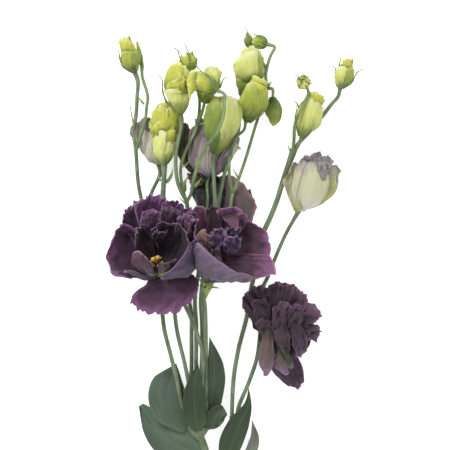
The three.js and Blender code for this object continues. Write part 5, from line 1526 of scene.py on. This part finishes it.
base, axis = growing("bloom_nodding")
piece("bloom_nodding_corolla", shaped(base, [
    # Petals behind, shut over the heart, painted dark as shade.
    (painted_shade_black, dict(waved, waves=2), [
        [(-9, 9, 14), (1, 10, 16), (13, 9, 15), (25, 5, 12)],
        [(-14, -3, 18), (0, -3, 20), (14, -4, 19), (29, -6, 14)],
        [(-16, -16, 17), (-1, -16, 19), (14, -17, 18), (29, -16, 12)],
        [(-14, -26, 14), (0, -27, 16), (13, -29, 15), (25, -25, 10)],
        [(-8, -34, 10), (1, -35, 12), (10, -36, 12), (20, -33, 9)]]),
    # Crown, from the left round to the right: crumpled petals with toothed rims.
    (dusk, dict(frilled, teeth=1.8, pleat=0.4), [
        [(-4, -16, 12), (-4, -14, 12), (-3, -13, 12)], [(-11, -14, 20), (-12, -7, 21), (-9, 0, 22)],
        [(-20, -9, 23), (-22, 4, 26), (-17, 12, 27)], [(-24, -3, 22), (-30, 14, 25), (-28, 27, 28)]]),
    (dusk, dict(frilled, teeth=1.8, pleat=0.4), [
        [(-3, -12.5, 15), (-2.5, -12, 15), (-1.5, -11.5, 15)], [(-12, 1, 25), (-7, 5, 28), (-3, 5, 28)],
        [(-21, 15, 31), (-14, 19, 35), (-5, 18, 35)], [(-28, 26, 27), (-19, 28, 32), (-7, 28, 31)]]),
    (dusk, dict(frilled, waves=3.4, teeth=1.8, pleat=0.4), [
        [(-2, -12, 16), (-1, -11, 16), (0, -11, 16)], [(-7, 2, 29), (-1, 6, 33), (6, 4, 32)],
        [(-10, 19, 35), (2, 22, 39), (12, 19, 38)], [(-11, 27, 30), (2, 32, 35), (16, 27, 32)]]),
    (dusk_violet, dict(frilled, pleat=0.3), [
        [(-0.5, -11.5, 16), (0, -11.5, 16), (0.5, -12, 16)], [(2, 2, 30), (8, 3, 32), (12, 0, 30)],
        [(6, 17, 35), (16, 15, 36), (21, 7, 33)], [(9, 29, 29), (20, 24, 32), (27, 15, 28)]]),
    (dusk_violet, dict(frilled, waves=2.6, teeth=0.9, pleat=0.3), [
        [(0, -12, 14), (1, -12, 14), (1, -13, 14)], [(8, -1, 28), (12, -5, 28), (12, -11, 26)],
        [(18, 10, 31), (26, 2, 32), (23, -6, 29)], [(25, 17, 24), (37, 3, 27), (32, -6, 22)]]),
    (dusk, dict(frilled, waves=2.6, teeth=0.9, pleat=0.3), [
        [(0.5, -13, 12), (0.5, -13.5, 12), (0.5, -14, 12)], [(9, -8, 24), (12, -12, 24), (10, -17, 22)],
        [(20, -5, 26), (27, -11, 27), (22, -19, 24)], [(31, -6, 18), (37, -12, 22), (29, -22, 17)]]),
    # Folded petals over the middle.
    (dusk, dict(frilled, waves=2.6, teeth=0.9, crumple=1.6), [
        [(-3, -20, 24), (1, -19, 25), (6, -20, 24)], [(-4, -9, 35), (1, -7, 37), (7, -9, 36)],
        [(-5, 2, 40), (2, 6, 43), (8, 3, 42)], [(-5, 11, 39), (4, 15, 43), (14, 11, 40)]]),
    (dusk, dict(frilled, waves=2.6, teeth=0.9, crumple=1.6, tint=0.9), [
        [(-12, -20, 22), (-8, -19, 24), (-3, -18, 23)], [(-16, -11, 31), (-10, -9, 34), (-4, -9, 34)],
        [(-19, -3, 33), (-12, 1, 37), (-6, -1, 37)]]),
    (dusk, dict(frilled, waves=2.6, teeth=0.9, crumple=1.6, tint=0), [
        [(-16, -5, 30), (-10, -4, 33), (-5, -4, 33)], [(-21, 5, 33), (-14, 9, 38), (-7, 7, 38)],
        [(-23, 14, 31), (-15, 17, 37), (-7, 15, 36)]]),
    (dusk, dict(frilled, waves=2.4, teeth=0.8), [
        [(5, -18, 24), (8, -17, 24), (12, -17, 24)], [(6, -8, 35), (10, -6, 37), (16, -8, 35)],
        [(6, 2, 39), (14, 5, 41), (21, 1, 36)], [(8, 10, 39), (16, 12, 39), (25, 5, 33)]]),
    # Right side petal, hanging down.
    (dusk_violet, dict(waved, waves=2), [
        [(9, 0, 36), (13, 1, 37), (17, 0, 35)], [(12, -13, 38), (17, -12, 38), (23, -12, 34)],
        [(13, -24, 33), (18, -24, 34), (25, -22, 29)], [(16, -31, 25), (19, -34, 25), (22, -33, 22)]]),
    # Folds over the heart, brown and darkened by painted shade.
    (brown_plum_painted_shade, dict(waved, waves=2, crumple=1.2), [
        [(-3, -5, 34), (3, -4, 36), (10, -5, 34)], [(-3, -14, 35), (3, -14, 38), (10, -15, 35)],
        [(-1, -22, 33), (4, -24, 36), (10, -23, 33)], [(0, -27, 30), (5, -28, 32), (10, -27, 30)]]),
    # Left: a smooth brown-mauve petal ending in a round lobe.
    (dusk_mauve, dict(calm, back=True, waves=1.6, drop=0.3, tint=0.5), [
        [(-12, -9, 31), (-8, -8, 33), (-5, -9, 33)], [(-14, -20, 35), (-9, -19, 39), (-4, -20, 37)],
        [(-15, -30, 33), (-9, -29, 38), (-3, -30, 35)], [(-16, -38, 28), (-10, -39, 37), (-3, -38, 31)],
        [(-15, -47, 22), (-10, -49, 25), (-4, -46, 24)]]),
    # Middle: a narrow mauve petal.
    (dusk_mauve, dict(calm, back=True, waves=1.6), [
        [(0, -26, 31), (1, -26, 31), (3, -26, 31)], [(-2, -34, 31), (1, -33, 34), (5, -34, 32)],
        [(-3, -41, 27), (3, -39, 31), (8, -41, 28)], [(3, -46, 20), (6, -48, 22), (10, -48, 20)]]),
    # An old sepal lies over it.
    (old_strip, dict(calm, ruffle=0.1, waves=1.2, frill=0, teeth=0, pleat=0.1), [
        [(1, -26, 33), (5, -26, 35), (9, -26, 33)], [(4, -33, 34), (7, -32, 37), (11, -33, 34)],
        [(7, -38, 31), (10, -38, 33), (13, -38, 31)], [(9, -42, 24), (11, -43, 25), (14, -42, 24)]]),
], 380), ["bloom_nodding_outer_petals", "bloom_nodding_inner_petals"])

# The left bloom's lower petal hangs in front of the stems, and the nodding bloom's droops to the table.
piece("bloom_left_lower_petal_blade", shaped((-62.6, -3, 39), [
    (broad_plum, dict(waved, waves=3.2, teeth=6.0, lobes=2.2, tint=0.9, pleat=0.3, rows=40, columns=110), [
        [(-10, -1, 0), (-2, 0, 1), (6, 1, 1), (16, 2, 0), (27, 2, -2)],
        [(-14, -7, 1), (-4, -8, 4), (8, -8, 5), (20, -7, 4), (31, -3, 0)],
        [(-23, -14, 2), (-10, -18, 6), (6, -18, 8), (20, -16, 6), (32, -8, 1)],
        [(-26, -20, 1), (-16, -25, 5), (2, -27, 7), (16, -24, 5), (30, -14, 0)],
        [(-25, -26, 0), (-16, -31, 2), (1, -32, 3), (15, -29, 2), (28, -18, -2)]]),
], 401), ["bloom_left_lower_petal"])
piece("bloom_nodding_lower_petal_blade", shaped((37.4, -43, 14), [
    (dusk_violet, dict(waved, waves=3, teeth=2.0, lobes=1.4, tint=0.6, pleat=0.5), [
        [(-4, -12.7, 3), (2.5, -12, 4), (11.6, -12.7, 3)], [(-7.3, -27, 1), (2.5, -25, 3), (15.5, -27, 1)],
        [(-6.5, -40, -3), (5, -37, -1), (20, -37, -4)], [(3, -50, -8), (11.6, -48, -6), (21.5, -46.5, -8)],
        [(11.6, -55, -12), (15.5, -56, -11), (20, -53, -12)]]),
], 402), ["bloom_nodding_lower_petal"])


# ----------------------------------------
# Calyx cups. Each open flower sits in a small green cup, firm and leathery, that grows from its stalk
# and divides into five needle-like sepals. Its skin is the sepals' of the buds, a little paler.
calyx_skin = green_skin("calyx_skin", "#64773f", "#8fa358", "#bccb80")
CUP_HEIGHT, CUP_RADIUS = 6, 5


def calyx_cup(base, axis, number, sepal=17, spread=1.0, press=1.0, foot=None):
    """sepal is their length in millimetres, and spread how far they lean out. press flattens the cup
    on the table, and foot is the end of the stalk where it thickens below the cup."""
    start = at(*base)
    body = tube(
        [start + axis * CUP_HEIGHT * share * MM for share in (0, 0.33, 0.66, 1)],
        lambda s: CUP_RADIUS * MM * (0.36 + 0.64 * smooth(0.15 + 0.85 * s)), sides=22, step=0.0005,
        number=number)
    shapes = [body]
    if foot:
        shapes.append(tube([at(*place) for place in foot], lambda s: (1.9 + 3.3 * smooth(s)) * MM, sides=22,
                           step=0.0005, number=number))

    def radius(s):
        belly = math.sin(math.pi * min(1, 0.3 + 0.7 * s))
        return 0.9 * MM * (0.4 + 0.9 * belly) * (1.05 - 0.8 * s)
    rng = np.random.default_rng(number + 77)
    for k in range(5):
        azimuth = 0.2 + 2 * math.pi * k / 5 + rng.normal() * 0.12
        away = outward(axis, azimuth)
        places = []
        for share in (0, 0.2, 0.45, 0.7, 0.9, 1.0):
            out = CUP_RADIUS * (0.62 + 0.4 * min(1, share * 4))
            out += spread * sepal * share**1.5 * (1 - 0.2 * share)
            up = CUP_HEIGHT * 0.3 + sepal * share * (1 - 0.4 * spread * share)
            places.append(start + (axis * up + away * out) * MM)
        shapes.append(tube(places, radius, sides=8, step=0.001, flat=0.5, number=number + k))
    for shape in shapes:
        shape["co"][:, 2] = start[2] + (shape["co"][:, 2] - start[2]) * press
    return shapes


cups = {
    "pale_flower_right": dict(sepal=14, spread=0.7),
    "pale_flower_left": dict(sepal=12, spread=0.7, press=0.75),
    "pale_flower_centre": dict(sepal=12, spread=0.7, press=0.62),
    "bloom_left": {},
    "bloom_right": dict(sepal=9, foot=[(-26, -21, 29), (-24.5, -16, 32), (-23, -10, 35), (-22.5, -5, 37)]),
    "bloom_rear": dict(sepal=15, press=0.6),
    "bloom_nodding": {},
}
for number, (name, form) in enumerate(cups.items(), 31):
    cup = calyx_cup(*growing(name), number, **form)
    piece(f"{name}_cup", [(calyx_skin, cup)], [f"{name}_calyx"])


# ----------------------------------------
# The left bloom's heart: a pistil that ends in a two-lobed stigma, among six stamens on thin stalks. All
# are fleshy, stand on the cup's seat, and are dusted with pollen, which makes them a soft golden yellow.
gold = petal_material(
    "pollen_gold", "#b08a28", "#dcae38", "#f0cf68", "#dcb032", "#e8bf50", vein=0.2, glow=0.1, foot_end=0.35,
    spread=0.5)
STAMENS = 6
base, axis = growing("bloom_left")
seat_place = at(*base) + axis * 9 * MM
heart = []
for k in range(STAMENS):
    away = outward(axis, 2 * math.pi * k / STAMENS)
    foot = seat_place + away * 1.5 * MM
    head = seat_place + (axis * 10 + away * 4) * MM
    middle = (foot * 2 + head) / 3 + axis * MM
    heart.append(tube([foot, middle, head], lambda s: 0.35 * MM, sides=6, step=0.001, number=k))
    head_end = head + (axis * 1.2 + away * 1.6) * MM
    heart.append(tube(
        [head, (head + head_end) / 2, head_end],
        lambda s: MM * (0.4 + 0.5 * math.sin(math.pi * (0.1 + 0.8 * s))), sides=10, step=0.0003, number=k))
for lobe in (-1, 1):
    away = outward(axis, math.pi / 2 * lobe)
    start = seat_place + axis * 9 * MM
    end = seat_place + (axis * 17 + away * 2.6) * MM
    heart.append(tube(
        [start, (start + end) / 2 + away * 0.3 * MM, end],
        lambda s: MM * (0.7 + 1.5 * smooth((s - 0.2) / 0.6) * math.sqrt(max(0, 1 - s**6))),
        sides=12, step=0.0005, number=lobe + 2))
piece("bloom_left_heart", [(gold, heart)], ["bloom_left_stamens"])
